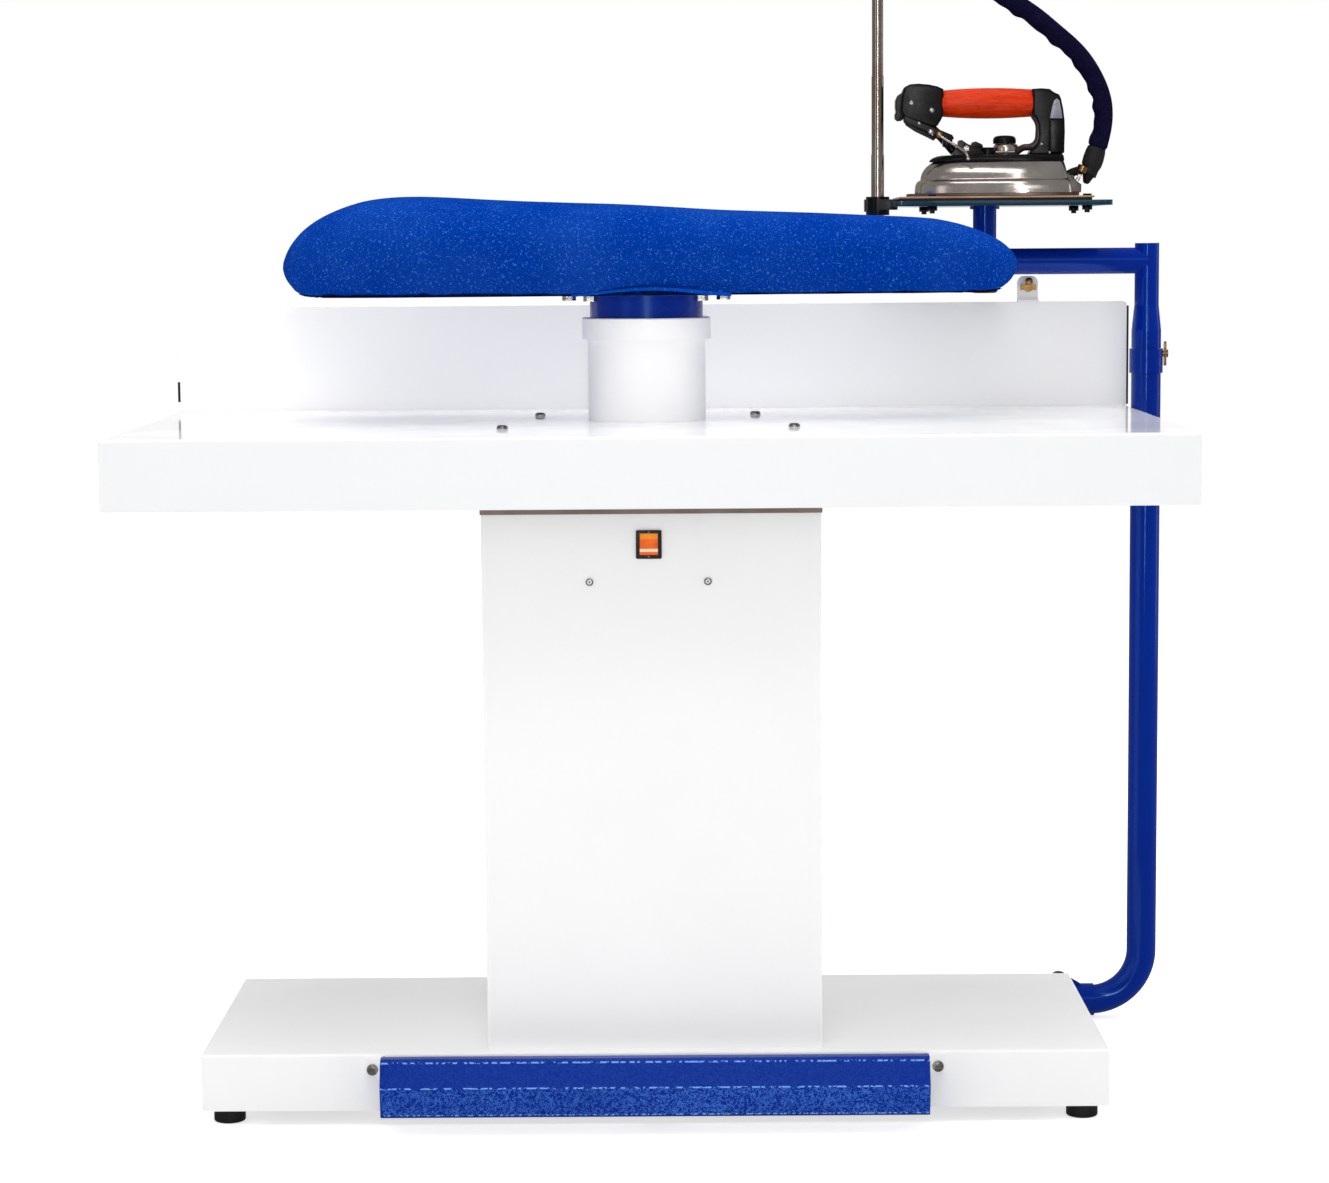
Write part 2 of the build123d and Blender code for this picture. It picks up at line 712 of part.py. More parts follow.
def form_prism(inset, z0, z1):
    """The form's outline, drawn in by an inset, as an upright prism."""
    tail, nose = form_tail_radius - inset, form_nose_radius - inset
    lean = (tail - nose) / (form_nose_x - form_tail_x)
    up = sqrt(1 - lean**2)
    tail_x = form_tail_x + (form_wall_shorten if inset > 0 else 0)
    nose_x = form_nose_x - (form_wall_shorten if inset > 0 else 0)
    a = (tail_x + tail * lean, tail * up)
    b = (nose_x + nose * lean, nose * up)
    tip = (nose_x + nose, 0)
    end = (tail_x - tail, 0)
    line = Line(a, b) + ThreePointArc(b, tip, (b[0], -b[1]))
    line += Line((b[0], -b[1]), (a[0], -a[1])) + ThreePointArc((a[0], -a[1]), end, a)
    return Pos(0, duct_y, z0) * extrude(make_face(line), z1 - z0)


def suction_holes():
    """A grid of holes over the plate, kept clear of its edge."""
    holes = []
    reach = int(400 / form_hole_pitch) + 1
    for i in range(-reach, reach + 1):
        x = i * form_hole_pitch
        for j in range(-3, 4):
            y = j * form_hole_pitch
            if abs(y) < form_half_width(x, form_wall_inset + 14):
                holes.append(rod_z(x, duct_y + y, plate_low - 1, plate_high + 1, form_hole_radius))
    return holes


def end_rounding(x, tail_run, nose_run):
    """One along the middle of the form, falling to zero at its tips as quarter ellipses."""
    from_tail = (x - (form_tail_x - form_tail_radius)) / tail_run
    from_nose = (form_nose_x + form_nose_radius - x) / nose_run
    share = max(min(from_tail, from_nose, 1.0), 0.0)
    return sqrt(1 - (1 - share) ** 2)


def form_loft(inset):
    """The padded body of the form, drawn in by an inset."""
    base = pan_low - form_cover_thick - seat_gap
    middle = (form_nose_x + form_nose_radius + form_tail_x - form_tail_radius) / 2
    reach = form_nose_x + form_nose_radius - middle
    sections = []
    for i in range(form_stations):
        angle = radians(form_first_angle + i * (180 - 2 * form_first_angle) / (form_stations - 1))
        x = middle - reach * cos(angle)
        crown = form_crown_tail + (form_crown_nose - form_crown_tail) * (1 - cos(angle)) / 2
        tip = form_tip_height
        top = tip + (crown - tip) * end_rounding(x, 160.0, 100.0)
        bottom = tip * (1 - end_rounding(x, 45.0, 45.0))
        place = middle - (reach - inset) * cos(angle)
        half = form_half_width(x) - inset
        sections.append(form_section(place, half, base + bottom + inset, base + top - inset))
    return loft(sections)


def form_section(x, half, low, high):
    """One crosswise section: flat below, bulging sides, crowned top."""
    tall = high - low
    bottom_half = half * 0.86
    shoulder_half = half * 0.62
    side = low + tall * 0.42
    shoulder = low + tall * 0.90
    plane = Plane(origin=(x, duct_y, 0), x_dir=(0, 1, 0), z_dir=(1, 0, 0))
    lower = (half * 0.965, low + tall * 0.14)
    upper = (half * 0.885, low + tall * 0.74)
    points = [(-bottom_half, low), (bottom_half, low)]
    line = Line(points[0], points[1])
    line += ThreePointArc((bottom_half, low), lower, (half, side))
    line += ThreePointArc((half, side), upper, (shoulder_half, shoulder))
    line += ThreePointArc((shoulder_half, shoulder), (0, high), (-shoulder_half, shoulder))
    line += ThreePointArc((-shoulder_half, shoulder), (-upper[0], upper[1]), (-half, side))
    line += ThreePointArc((-half, side), (-lower[0], lower[1]), (-bottom_half, low))
    return plane * make_face(line)


def make_post():
    """The fixed post: elbow from the foot bracket, upright tube and clamp collar."""
    tube = rod_z(post_x, post_y, elbow_top, post_seat, post_radius)
    tube -= rod_z(post_x, post_y, elbow_top - 1, post_seat + 1, post_bore)
    ledge = rod_z(post_x, post_y, bush_low - 4, bush_low - running_gap, post_bore + 1)
    ledge -= rod_z(post_x, post_y, bush_low - 9, bush_low + 1, spigot_radius + 0.3)
    collar = rod_z(post_x, post_y, collar_low, collar_high, post_collar_radius)
    collar -= rod_z(post_x, post_y, collar_low - 1, post_seat, post_radius - 0.5)
    collar -= rod_z(post_x, post_y, post_seat - 1, collar_high + 1, spigot_radius + 2 * running_gap)
    post = tube + ledge + collar
    post -= rod_x(post_x, post_x + 30, post_y, post_seat + 6, 3 + bolt_gap)
    add("lower_post", post)

    corners = ((post_x, post_y, elbow_top), (post_x, post_y, leg_z), (leg_end_x, post_y, leg_z))
    path = FilletPolyline(*corners, radius=elbow_radius)
    start = Plane(origin=corners[0], z_dir=(0, 0, -1))
    elbow = sweep(start * Circle(post_radius), path=path)
    elbow -= sweep(start * Circle(post_bore), path=path)
    spigot = rod_z(post_x, post_y, elbow_top - 20, elbow_top + 25, post_bore - running_gap)
    spigot -= rod_z(post_x, post_y, elbow_top - 30, elbow_top + 30, post_bore - 2)
    root = rod_z(post_x, post_y, elbow_top - 9, elbow_top, post_radius - 1)
    root -= rod_z(post_x, post_y, elbow_top - 30, elbow_top + 30, post_bore - 2)
    add("post_elbow", elbow + spigot + root)

    left = leg_end_x - 2
    ring = rod_x(left, left + 26, post_y, leg_z, post_radius + 2)
    ring -= rod_x(left - 1, left + 30, post_y, leg_z, post_radius)
    s = outrigger_sheet
    z0, z1 = leg_z + 3, leg_z + 37
    outline = [(452, leg_z - 12), (452, leg_z + 24), (463, leg_z + 31), (480, leg_z + 31)]
    outline += [(497, leg_z + 21), (506, leg_z + 13), (506, leg_z - 12)]
    face = Plane.XZ * make_face(Polyline(*outline, close=True))
    plate = Pos(0, post_y - 2, 0) * extrude(face, 4)
    web = span_box(452, 452 + s, base_back + s - 1, post_y - 2, z0, leg_z + 24)
    foot = span_box(426, 452 + s, base_back, base_back + s, z0, z1)
    for x, z in outrigger_bolt_places():
        foot -= rod_y(x, base_back - 5, base_back + 10, z, 3 + bolt_gap)
    bracket = ring + (plate - rod_x(left, left + 30, post_y, leg_z, post_radius)) + web + foot
    bracket -= rod_y(472, post_y - 20, post_y + 10, leg_z + 26, 3.0)
    add("post_foot_bracket", bracket)

    knob = rod_y(472, post_y - 16, post_y - 6, leg_z + 26, 10)
    knob = fillet(knob.edges().group_by(Axis.Y)[0], 3.0)
    knob += rod_y(472, post_y - 16, post_y + 6, leg_z + 26, 3.0)
    add("bracket_knob", knob)


def make_arm():
    """The swivel bush, the swaged upper post with its arm, the rest pipe and its cap."""
    bush = rod_z(post_x, post_y, bush_low, post_seat - seat_gap, post_bore - running_gap)
    bush -= rod_z(post_x, post_y, bush_low - 1, post_seat + 1, spigot_radius + running_gap)
    add("swivel_bush", bush)

    seat = collar_high + seat_gap
    swage = (swage_high - swage_low) / 2
    outer = rod_z(post_x, post_y, spigot_low, post_high, spigot_radius)
    outer += rod_z(post_x, post_y, seat, swage_low, post_radius)
    outer += Pos(post_x, post_y, swage_low + swage) * Cone(post_radius, spigot_radius, 2 * swage)
    outer += rod_x(rest_x, post_x, post_y, arm_z, arm_radius)
    inner = rod_z(post_x, post_y, spigot_low - 1, post_high - 2, spigot_radius - arm_wall)
    inner += rod_x(rest_x, post_x, post_y, arm_z, arm_radius - arm_wall)
    arm = outer - inner
    arm -= rod_z(rest_x, post_y, arm_z - 40, arm_z + 40, rest_pipe_radius)
    add("arm_tube", arm.solids().sort_by(SortBy.VOLUME)[-1])

    pipe_high = glass_low - rest_flange_thick
    pipe = rod_z(rest_x, post_y, rest_pipe_low, pipe_high, rest_pipe_radius)
    pipe += rod_z(rest_x, post_y, pipe_high, glass_low, rest_flange_radius)
    pipe -= rod_z(rest_x, post_y, rest_pipe_low - 1, pipe_high, rest_pipe_radius - arm_wall)
    add("rest_pipe", pipe)

    cap = rod_z(rest_x, post_y, rest_pipe_low - 9, rest_pipe_low, rest_pipe_radius + 2)
    cap = fillet(cap.edges().group_by(Axis.Z)[0], 4.0)
    cap += rod_z(rest_x, post_y, rest_pipe_low - 1, rest_pipe_low + 14, rest_pipe_radius - arm_wall - 0.1)
    add("rest_pipe_cap", cap)

    z = post_seat + 6
    start = post_x + spigot_radius + seat_gap
    screw = rod_x(start, post_x + 23, post_y, z, 3.0)
    head = rod_x(post_x + post_collar_radius + 0.8, post_x + 25, post_y, z, 4.5)
    wings = span_box(post_x + 20.5, post_x + 23, post_y - 4, post_y + 4, z - 14, z + 14)
    wings = fillet(wings.edges().filter_by(Axis.X), 3.5)
    add("collar_wing_screw", screw + head + wings)


def make_rest():
    """The glass plate with rubber mat and rest sheet, their bolts, and the pole clamp."""
    glass_high = glass_low + glass_thick
    half = glass_depth / 2
    glass = span_box(glass_left, glass_right, post_y - half, post_y + half, glass_low, glass_high)
    glass = fillet(glass.edges().filter_by(Axis.Z), 8.0)
    half = mat_depth / 2
    mat_left = glass_left + mat_inset
    mat_high = glass_high + mat_thick
    sheet_high = mat_high + sheet_thick
    mat = span_box(mat_left, mat_right, post_y - half, post_y + half, glass_high, mat_high)
    mat = fillet(mat.edges().filter_by(Axis.Z), 8.0)
    sheet = span_box(mat_left - 1, mat_right + 3, post_y - half, post_y + half, mat_high, sheet_high)
    sheet = fillet(sheet.edges().filter_by(Axis.Z), 12.0)
    bolts = []
    for x, y in rest_bolt_places:
        hole = rod_z(x, y, glass_low - 5, sheet_high + 5, 3 + bolt_gap)
        glass -= hole
        mat -= hole
        sheet -= hole
        bolt = rod_z(x, y, glass_low - 8, sheet_high + 1, 3.0)
        bolt += rod_z(x, y, sheet_high, sheet_high + 2.2, 5.0)
        bolt += hexagon_z(x, y, glass_low - 5, glass_low, 10.0)
        bolts.append(bolt)
    add("rest_glass", glass)
    add("rest_mat", mat)
    add("rest_sheet", sheet)
    add("rest_bolts", *bolts)

    clamp = rod_z(pole_x, post_y, glass_low - 9, glass_low + 12, clamp_radius)
    jaw = span_box(pole_x, glass_left + 9, post_y - 14, post_y + 14, glass_low - 3, glass_high + 3)
    clamp += jaw
    clamp -= span_box(glass_left, glass_right, post_y - 20, post_y + 20, glass_low, glass_high)
    clamp += span_box(pole_x - 15.5, pole_x - 8, post_y - 7, post_y + 7, glass_low - 5, glass_low + 9)
    clamp -= rod_z(pole_x, post_y, glass_low - 20, glass_low + 30, pole_radius)
    add("pole_clamp", clamp)


def make_pole():
    """Three telescopic tubes with a hose hanger on top."""
    step = pole_wall + running_gap
    middle_radius = pole_radius - step
    top_radius = middle_radius - step
    lower = rod_z(pole_x, post_y, pole_low, pole_step_1, pole_radius)
    lower -= rod_z(pole_x, post_y, pole_low + 3, pole_step_1 + 1, pole_radius - pole_wall)
    add("pole_lower", lower)

    middle_low = pole_low + 3 + pole_travel + seat_gap
    middle = rod_z(pole_x, post_y, middle_low, pole_step_2, middle_radius)
    middle -= rod_z(pole_x, post_y, middle_low + 3, pole_step_2 + 1, middle_radius - pole_wall)
    add("pole_middle", middle)

    top_low = middle_low + 3 + pole_travel + seat_gap
    top = rod_z(pole_x, post_y, top_low, pole_top_z, top_radius)
    top -= rod_z(pole_x, post_y, top_low - 1, pole_top_z - 30, top_radius - 1)
    add("pole_top", top)

    socket = rod_z(pole_x, post_y, hanger_z - 34, hanger_z, 9.5)
    head = rod_x(pole_x - 14, pole_x + 14, post_y, hanger_z, 12.0)
    hanger = socket + head - rod_z(pole_x, post_y, hanger_z - 40, pole_top_z, top_radius)
    hanger -= rod_x(pole_x - 15, pole_x, post_y, hanger_z, 6.0)
    nut = rod_x(pole_x + 14, pole_x + 26, post_y, hanger_z, 13.0)
    add("hose_hanger", hanger, nut)


def iron_outline(inset, front=0.0):
    """The iron's plan: a pointed nose, bowed sides and a nearly square back."""
    nose = iron_nose_x + inset + front
    back = iron_rear_x - inset
    half = iron_half_width - inset
    tip = 3.0
    side_x = nose + (iron_widest_x - nose) * 0.40
    line = Spline(
        (nose, tip),
        (side_x, half * 0.70),
        (iron_widest_x, half),
        (back - 8, half * 0.93),
        tangents=[(0.35, 1), (1, -0.12)],
    )
    near = Spline(
        (nose, -tip),
        (side_x, -half * 0.70),
        (iron_widest_x, -half),
        (back - 8, -half * 0.93),
        tangents=[(0.35, -1), (1, 0.12)],
    )
    end = Line((back - 8, half * 0.93), (back, half * 0.82))
    end += Line((back, half * 0.82), (back, -half * 0.82))
    end += Line((back, -half * 0.82), (back - 8, -half * 0.93))
    line += end
    line += near
    line += Line((nose, -tip), (nose, tip))
    return make_face(line)


def iron_layer(z0, z1, inset0, inset1, front0=0.0, front1=0.0):
    """A slice of the iron between two heights, drawn in from one inset to another."""
    lower = Pos(0, post_y, z0) * iron_outline(inset0, front0)
    upper = Pos(0, post_y, z1) * iron_outline(inset1, front1)
    return loft([lower, upper], ruled=True)


def make_iron():
    """The steam iron that stands on the rest: sole, stepped skirt, cover, handle and fittings."""
    z0 = glass_low + glass_thick + mat_thick + sheet_thick + seat_gap
    z1 = z0 + sole_thick
    z2 = z1 + skirt_lower
    z3 = z2 + skirt_upper
    z4 = z3 + top_cover_thick
    add("iron_sole", iron_layer(z0, z1, 0, 0))
    lower = iron_layer(z1, z2, 3, 6, 6, 6)
    upper = iron_layer(z2, z3, 9, 18, 6, 6)
    guard = span_box(iron_rear_x - 7, iron_rear_x + 11, post_y - 30, post_y + 30, z1, z1 + 3)
    guard += span_box(iron_rear_x + 8, iron_rear_x + 11, post_y - 30, post_y + 30, z1, z1 + 16)
    add("iron_skirt", lower + upper + guard)

    cover = iron_layer(z3, z4, 17, 22, 4, 12)
    for x, y, size in ((358, -10, 6), (374, 9, 6)):
        cover += rod_z(x, post_y + y, z4 - 1, z4 + 9, size)
    cover += rod_z(knob_x, post_y, z4 - 1, z4 + 4, knob_radius - 1)
    add("iron_top_cover", cover)

    knob = rod_z(knob_x, post_y, z4 + 4 + seat_gap, z4 + 15, knob_radius)
    knob = fillet(knob.edges().group_by(Axis.Z)[-1], 3.0)
    add("thermostat_knob", knob)

    barrel = rod_x(handle_left, handle_right, post_y, handle_z, handle_radius)
    swell = Pos((handle_left + handle_right) / 2, post_y, handle_z) * Rot(0, 90, 0)
    swell *= Cylinder(handle_radius + handle_swell, (handle_right - handle_left) * 0.6)
    swell = chamfer(swell.edges().filter_by(GeomType.CIRCLE), handle_swell * 0.9, handle_swell * 12)
    add("iron_handle", barrel + swell)

    block_points = [(0, 16.5), (-16, 19.5), (-33, 21), (-42, 15.5), (-43.5, -8), (-39, -18)]
    block_points += [(-18, -21.5), (-7, -27.5), (0, -16.5)]
    face = Plane.XZ * make_face(Polyline(*block_points, close=True))
    block = Pos(handle_left, post_y + 15, handle_z) * extrude(face, 30)
    block = fillet(block.edges().filter_by(Axis.Y), 1.5)
    foot_z = z4 - handle_z
    rear_points = [(0, 16.5), (17, 15.5), (26, 6.5), (34, -15.5), (35, foot_z + 3), (32, foot_z)]
    rear_points += [(-3, foot_z), (-3, foot_z + 8), (6, foot_z + 18), (0, -19.5)]
    face = Plane.XZ * make_face(Polyline(*rear_points, close=True))
    upright = Pos(handle_right, post_y + 15, handle_z) * extrude(face, 30)
    upright = fillet(upright.edges().filter_by(Axis.Y), 1.2)
    strut_start = (handle_left - 12, post_y + 8, handle_z - 23.5)
    strut = rod_between(strut_start, (352, post_y + 8, z4 + 4), 5.5)
    foot = rod_z(352, post_y + 8, z4, z4 + 6, 8.0)
    front = (block + strut + foot) - span_box(280, 500, post_y - 40, post_y + 40, z4 - 20, z4)
    barrel_x, barrel_z = handle_left - 44.5, handle_z + 13.5
    front -= rod_y(barrel_x, post_y - 20, post_y + 20, barrel_z, trigger_barrel + running_gap)
    add("iron_handle_mounts", front, upright)

    face_x = barrel_x - 1.5
    flap = span_box(face_x - 6, face_x, post_y - 9, post_y + 9, handle_z - 17.5, barrel_z)
    flap = fillet(flap.edges().filter_by(Axis.Y), 2.0)
    flap += rod_y(barrel_x, post_y - 9, post_y + 9, barrel_z, trigger_barrel)
    add("iron_trigger", flap)

    pipe_y = post_y - 12
    pipe_points = [(handle_left - 31, pipe_y, handle_z - 27.5), (handle_left - 3, pipe_y, handle_z - 39.5)]
    pipe_points.append((handle_left + 27, pipe_y, z4 + 5.5))
    pipe = rod_between(pipe_points[0], pipe_points[1], 5.0)
    pipe += rod_between(pipe_points[1], pipe_points[2], 1.8)
    pipe += Pos(*pipe_points[2]) * Sphere(1.8)
    pipe += rod_z(handle_left + 27, pipe_y, z4 - 1, z4 + 5.5, 1.8)
    pipe -= cover

    stub_z = z2 + 3
    stub = rod_x(iron_rear_x - 13, iron_rear_x + 6, post_y, stub_z, 6.0)
    start = hose_route[0]
    direction = Edge.make_line(start, hose_route[1]).tangent_at(0)
    low = tuple(Vector(*start) - direction * 12)
    joint = stub + rod_between((iron_rear_x + 6, post_y, stub_z), low, 5.0)
    joint += Pos(iron_rear_x + 6, post_y, stub_z) * Sphere(6.0)
    joint += Pos(*low) * Sphere(6.0)
    joint += rod_between(low, tuple(Vector(*start) - direction * seat_gap), 8.0)
    add("iron_steam_fittings", pipe, joint - lower - upper - guard)


# The hose: from the iron up past the rest, then over to the hanger on the pole.
hose_rise = [(17, 0, 35), (30, 0, 65), (37, 1, 96), (35, 3, 125), (23, 5, 153), (2, 7, 179)]
hose_rise += [(-27, 8, 204), (-61, 7, 228), (-92, 5, 245)]
hose_route = [(iron_rear_x + x, post_y + y, glass_low + z) for x, y, z in hose_rise]
hanger_run = [(111.2, 3.8, -16), (92, 2.8, -5.5), (66, 0, 0), (26, 0, 0)]
upper_route = [(pole_x + x, post_y + y, hanger_z + z) for x, y, z in hanger_run]


def bend_radii(route):
    """The largest arc that the two runs beside each corner allow."""
    radii = []
    for a, b, c in zip(route, route[1:], route[2:]):
        before = Vector(*b) - Vector(*a)
        after = Vector(*c) - Vector(*b)
        half_turn = radians(before.get_angle(after)) / 2
        radii.append(0.45 * min(before.length, after.length) / tan(half_turn))
    return radii


def hose_tube(name, route, diameter):
    """A round hose along its route, with the largest arcs that fit."""
    radii = bend_radii(route)
    path = FilletPolyline(*route, radius=radii)
    section = Plane(origin=route[0], z_dir=path % 0) * Circle(diameter / 2)
    tube = sweep(section, path=path)
    wanted = pi * diameter**2 / 4 * path.length
    share = tube.volume / wanted
    print(name, "length", round(path.length, 1), "volume share", round(share, 4))
    print(name, "radii", [round(r) for r in radii])
    add(name, tube)


def make_hose():
    """Two free stretches of hose with a coupling between them."""
    hose_tube("lower_hose", hose_route, hose_diameter)
    hose_tube("upper_hose", upper_route, upper_hose_diameter)
    start, end = Vector(*hose_route[-1]), Vector(*upper_route[0])
    along = (end - start).normalized() * seat_gap
    start, end = start + along, end - along
    span = Edge.make_line(start, end)
    coupling = rod_between(start, end, upper_hose_diameter / 2)
    coupling += rod_between(start, span @ 0.28, hose_diameter / 2)
    coupling += rod_between(span @ 0.72, end, upper_hose_diameter / 2 + 2)
    add("hose_coupling", coupling)
    print("coupling length", round(span.length, 1))


def write_parts():
    """Moves everything so that the origin is bottom centre, then writes one file per node."""
    cords = ("lower_hose", "upper_hose", "hose_coupling")
    solids = [s for name, group in PARTS.items() if name not in cords for s in group]
    box = Compound(children=[Solid(s.wrapped) for s in solids]).bounding_box()
    shift = Pos(-(box.min.X + box.max.X) / 2, -(box.min.Y + box.max.Y) / 2, -box.min.Z)
    print("moved by", [round(v, 3) for v in tuple(shift.position)])
    print("overall", [round(v, 2) for v in tuple(box.size)])
    os.makedirs("parts", exist_ok=True)
    for name, group in PARTS.items():
        moved = [shift * Solid(s.wrapped) for s in group]
        shape = moved[0] if len(moved) == 1 else Compound(children=moved)
        export_step(shape, f"parts/{name}.step")
    print(len(PARTS), "nodes")


make_base()
make_bolts()
make_column()
make_rear_cover()
make_small_screws()
make_tray()
make_duct()
make_fan()
make_pedal()
make_switch()
make_form()
make_post()
make_arm()
make_rest()
make_pole()
make_iron()
make_hose()
write_parts()
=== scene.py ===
import math

import bmesh
import bpy
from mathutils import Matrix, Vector, noise


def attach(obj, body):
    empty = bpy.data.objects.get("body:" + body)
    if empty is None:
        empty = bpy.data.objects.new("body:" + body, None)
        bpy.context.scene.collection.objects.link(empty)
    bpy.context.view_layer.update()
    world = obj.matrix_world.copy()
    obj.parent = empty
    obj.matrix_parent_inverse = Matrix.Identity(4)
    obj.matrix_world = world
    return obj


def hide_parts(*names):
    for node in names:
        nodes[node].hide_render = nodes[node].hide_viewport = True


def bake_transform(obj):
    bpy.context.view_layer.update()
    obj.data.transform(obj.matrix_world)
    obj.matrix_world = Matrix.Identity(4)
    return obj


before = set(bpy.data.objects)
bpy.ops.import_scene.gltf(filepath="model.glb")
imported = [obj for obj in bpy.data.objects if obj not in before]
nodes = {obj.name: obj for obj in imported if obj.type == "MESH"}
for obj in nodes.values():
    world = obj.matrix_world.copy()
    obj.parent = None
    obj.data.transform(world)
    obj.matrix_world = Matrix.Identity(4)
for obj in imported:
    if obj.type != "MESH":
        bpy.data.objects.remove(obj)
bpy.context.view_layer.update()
scene = bpy.context.scene

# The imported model's origin lies here in the tray's own measures, in millimetres.
ORIGIN_X = 21.0
ORIGIN_Y = 310.0
MM = 0.001

# The photograph's camera.
CAMERA_PLACE = (25.6, -3216.3, 913.5)
CAMERA_TURN = (83.8290748, 0.42415245, 0.16705161)
CAMERA_LENS = 87.63

# The padded form.
FORM_TAIL_X = -272.0
FORM_TAIL_RADIUS = 130.0
FORM_NOSE_X = 342.0
FORM_NOSE_RADIUS = 60.0
FORM_Y = 320.0
FORM_BASE_Z = 856.75
FORM_POCKET_INSET = 19.5
FORM_POCKET_TOP = 902.5
FORM_CLOTH_PROUD = 1.6
FORM_CROWN_LIFT = 2.8
HUB_X = -5.0
ARCH_HALF = 82.0
ARCH_RISE = 7.5
ARCH_BACK = 262.0

# How the form's cloth is blown up, in metres and frames.
CLOTH_VOXEL = 0.005
CLOTH_PRESSURE = 4.0
CLOTH_MOST_MOVE = 0.004
CLOTH_FRAMES = 20

# The column's front screws and the switch.
COLUMN_FRONT_Y = 93.0
FRONT_SCREWS_X = (-63.8, 58.0)
FRONT_SCREW_Z = 566.0
SWITCH_X = -2.5
SWITCH_FACE_Y = 91.0

# The rest's right end: where its bolt holes start, where its edges start and how far both move in.
REST_HOLES_X = 485.0
REST_ENDS_X = 515.0
REST_SHORTER = 10.0

# The iron's thermostat knob, and the bright collar and plinth under it.
KNOB_X = 405.5
KNOB_Z = 1022.2
KNOB_SIDES = 48
PLINTH_X = 407
COLLAR_Z = 1013.6

# The switch's centre height, and how far its rivets are from it.
SWITCH_Z = 604.5
SWITCH_RIVET_RISE = 12.4

# The pedal's folds.
PEDAL_TOP = 78.0
PEDAL_CREASE = 52.0
PEDAL_LIP = 21.5

# The iron, its rest and the hose. CUFF_LENGTH, in metres, is how much of the sleeve the cuff covers.
REST_Y = 530.0
IRON_NOSE_X = 293.0
IRON_REAR_X = 486.0
IRON_HALF_WIDTH = 57.0
IRON_SOLE_TOP = 969.3
DECK_TOP_Z = 1008.5
HOSE_RADIUS = 11.0
UPPER_HOSE_RADIUS = 7.0
CUFF_LENGTH = 0.034
HOSE_ROUTE = [
    (501, 530, 986), (513, 530, 1016), (519.4, 531, 1047), (517.2, 533, 1076), (505.4, 535, 1104),
    (484.6, 537, 1130), (456, 538, 1155), (423.4, 537, 1179), (394, 535, 1196),
]
UPPER_ROUTE = [(371.2, 533.8, 1208.5), (352, 532.8, 1219), (326, 530, 1224.5), (286, 530, 1224.5)]


def at(x, y, z):
    """A place in millimetres from the tray's front centre and the floor, as a point of the frame."""
    return Vector(((x - ORIGIN_X) * MM, (y - ORIGIN_Y) * MM, z * MM))


def shade_of(red, green, blue):
    """A colour as a screen shows it, 0 to 255, as a shader takes it."""
    channels = []
    for value in (red, green, blue):
        share = value / 255
        channels.append(share / 12.92 if share <= 0.04045 else ((share + 0.055) / 1.055) ** 2.4)
    return (*channels, 1.0)


# Nodes

def set_inputs(tree, node, values):
    """Sets inputs by label or number, each to a plain value or from another socket."""
    for label, value in values.items():
        if isinstance(value, bpy.types.NodeSocket):
            tree.links.new(value, node.inputs[label])
        else:
            node.inputs[label].default_value = value


def add_node(tree, kind, values, output=0):
    """A new node with these inputs; gives one of its outputs."""
    node = tree.nodes.new(kind)
    set_inputs(tree, node, values)
    return node.outputs[output]


def surface_place(tree):
    return tree.nodes.new("ShaderNodeTexCoord").outputs["Object"]


def axes_of(tree, vector):
    """The outputs X, Y and Z of a vector taken apart."""
    split = tree.nodes.new("ShaderNodeSeparateXYZ")
    tree.links.new(vector, split.inputs["Vector"])
    return split.outputs


def facing_up(tree):
    """The upward part of a surface's normal: 1 where it is level and 0 where it is upright."""
    return axes_of(tree, tree.nodes.new("ShaderNodeNewGeometry").outputs["Normal"])["Z"]


def math_node(tree, operation, first, second=0.0):
    """A sum of two values, each a socket or a number."""
    made = tree.nodes.new("ShaderNodeMath")
    made.operation = operation
    set_inputs(tree, made, {0: first, 1: second})
    return made.outputs["Value"]


def noise_node(tree, vector, scale, detail=3.0, roughness=0.55, distortion=0.0):
    return add_node(tree, "ShaderNodeTexNoise", {
        "Vector": vector, "Scale": scale, "Detail": detail, "Roughness": roughness, "Distortion": distortion,
    }, "Fac")


def range_node(tree, value, low, high, to_low=0.0, to_high=1.0, kind="SMOOTHSTEP"):
    made = tree.nodes.new("ShaderNodeMapRange")
    made.interpolation_type = kind
    set_inputs(tree, made, {
        "Value": value, "From Min": low, "From Max": high, "To Min": to_low, "To Max": to_high,
    })
    return made.outputs["Result"]


def blend_colours(tree, share, first, second):
    """A colour between two, each a colour as a screen shows it or a socket."""
    made = tree.nodes.new("ShaderNodeMix")
    made.data_type = "RGBA"
    first, second = [shade_of(*value) if isinstance(value, tuple) else value for value in (first, second)]
    set_inputs(tree, made, {"Factor": share, 6: first, 7: second})
    return made.outputs[2]


def mix_shaders(tree, share, first, second):
    return add_node(tree, "ShaderNodeMixShader", {"Fac": share, 1: first, 2: second})


# Camera, light and floor

def make_camera():
    turn = [math.radians(value) for value in CAMERA_TURN]
    bpy.ops.object.camera_add(location=at(*CAMERA_PLACE), rotation=turn)
    camera = bpy.context.object
    camera.data.lens = CAMERA_LENS
    camera.data.sensor_width = 36
    camera.data.clip_end = 60
    scene.camera = camera
    scene.view_settings.view_transform = "Standard"


def make_lamp(name, place, target, size, energy, mirrored=True):
    """A soft box facing a target, places in metres. One that is not mirrored leaves no highlight."""
    turn = (Vector(target) - Vector(place)).to_track_quat("-Z", "Y").to_euler()
    bpy.ops.object.light_add(type="AREA", location=place, rotation=turn)
    lamp = bpy.context.object
    lamp.name = name
    lamp.data.shape = "RECTANGLE"
    lamp.data.size, lamp.data.size_y = size
    lamp.data.energy = energy
    lamp.visible_glossy = mirrored


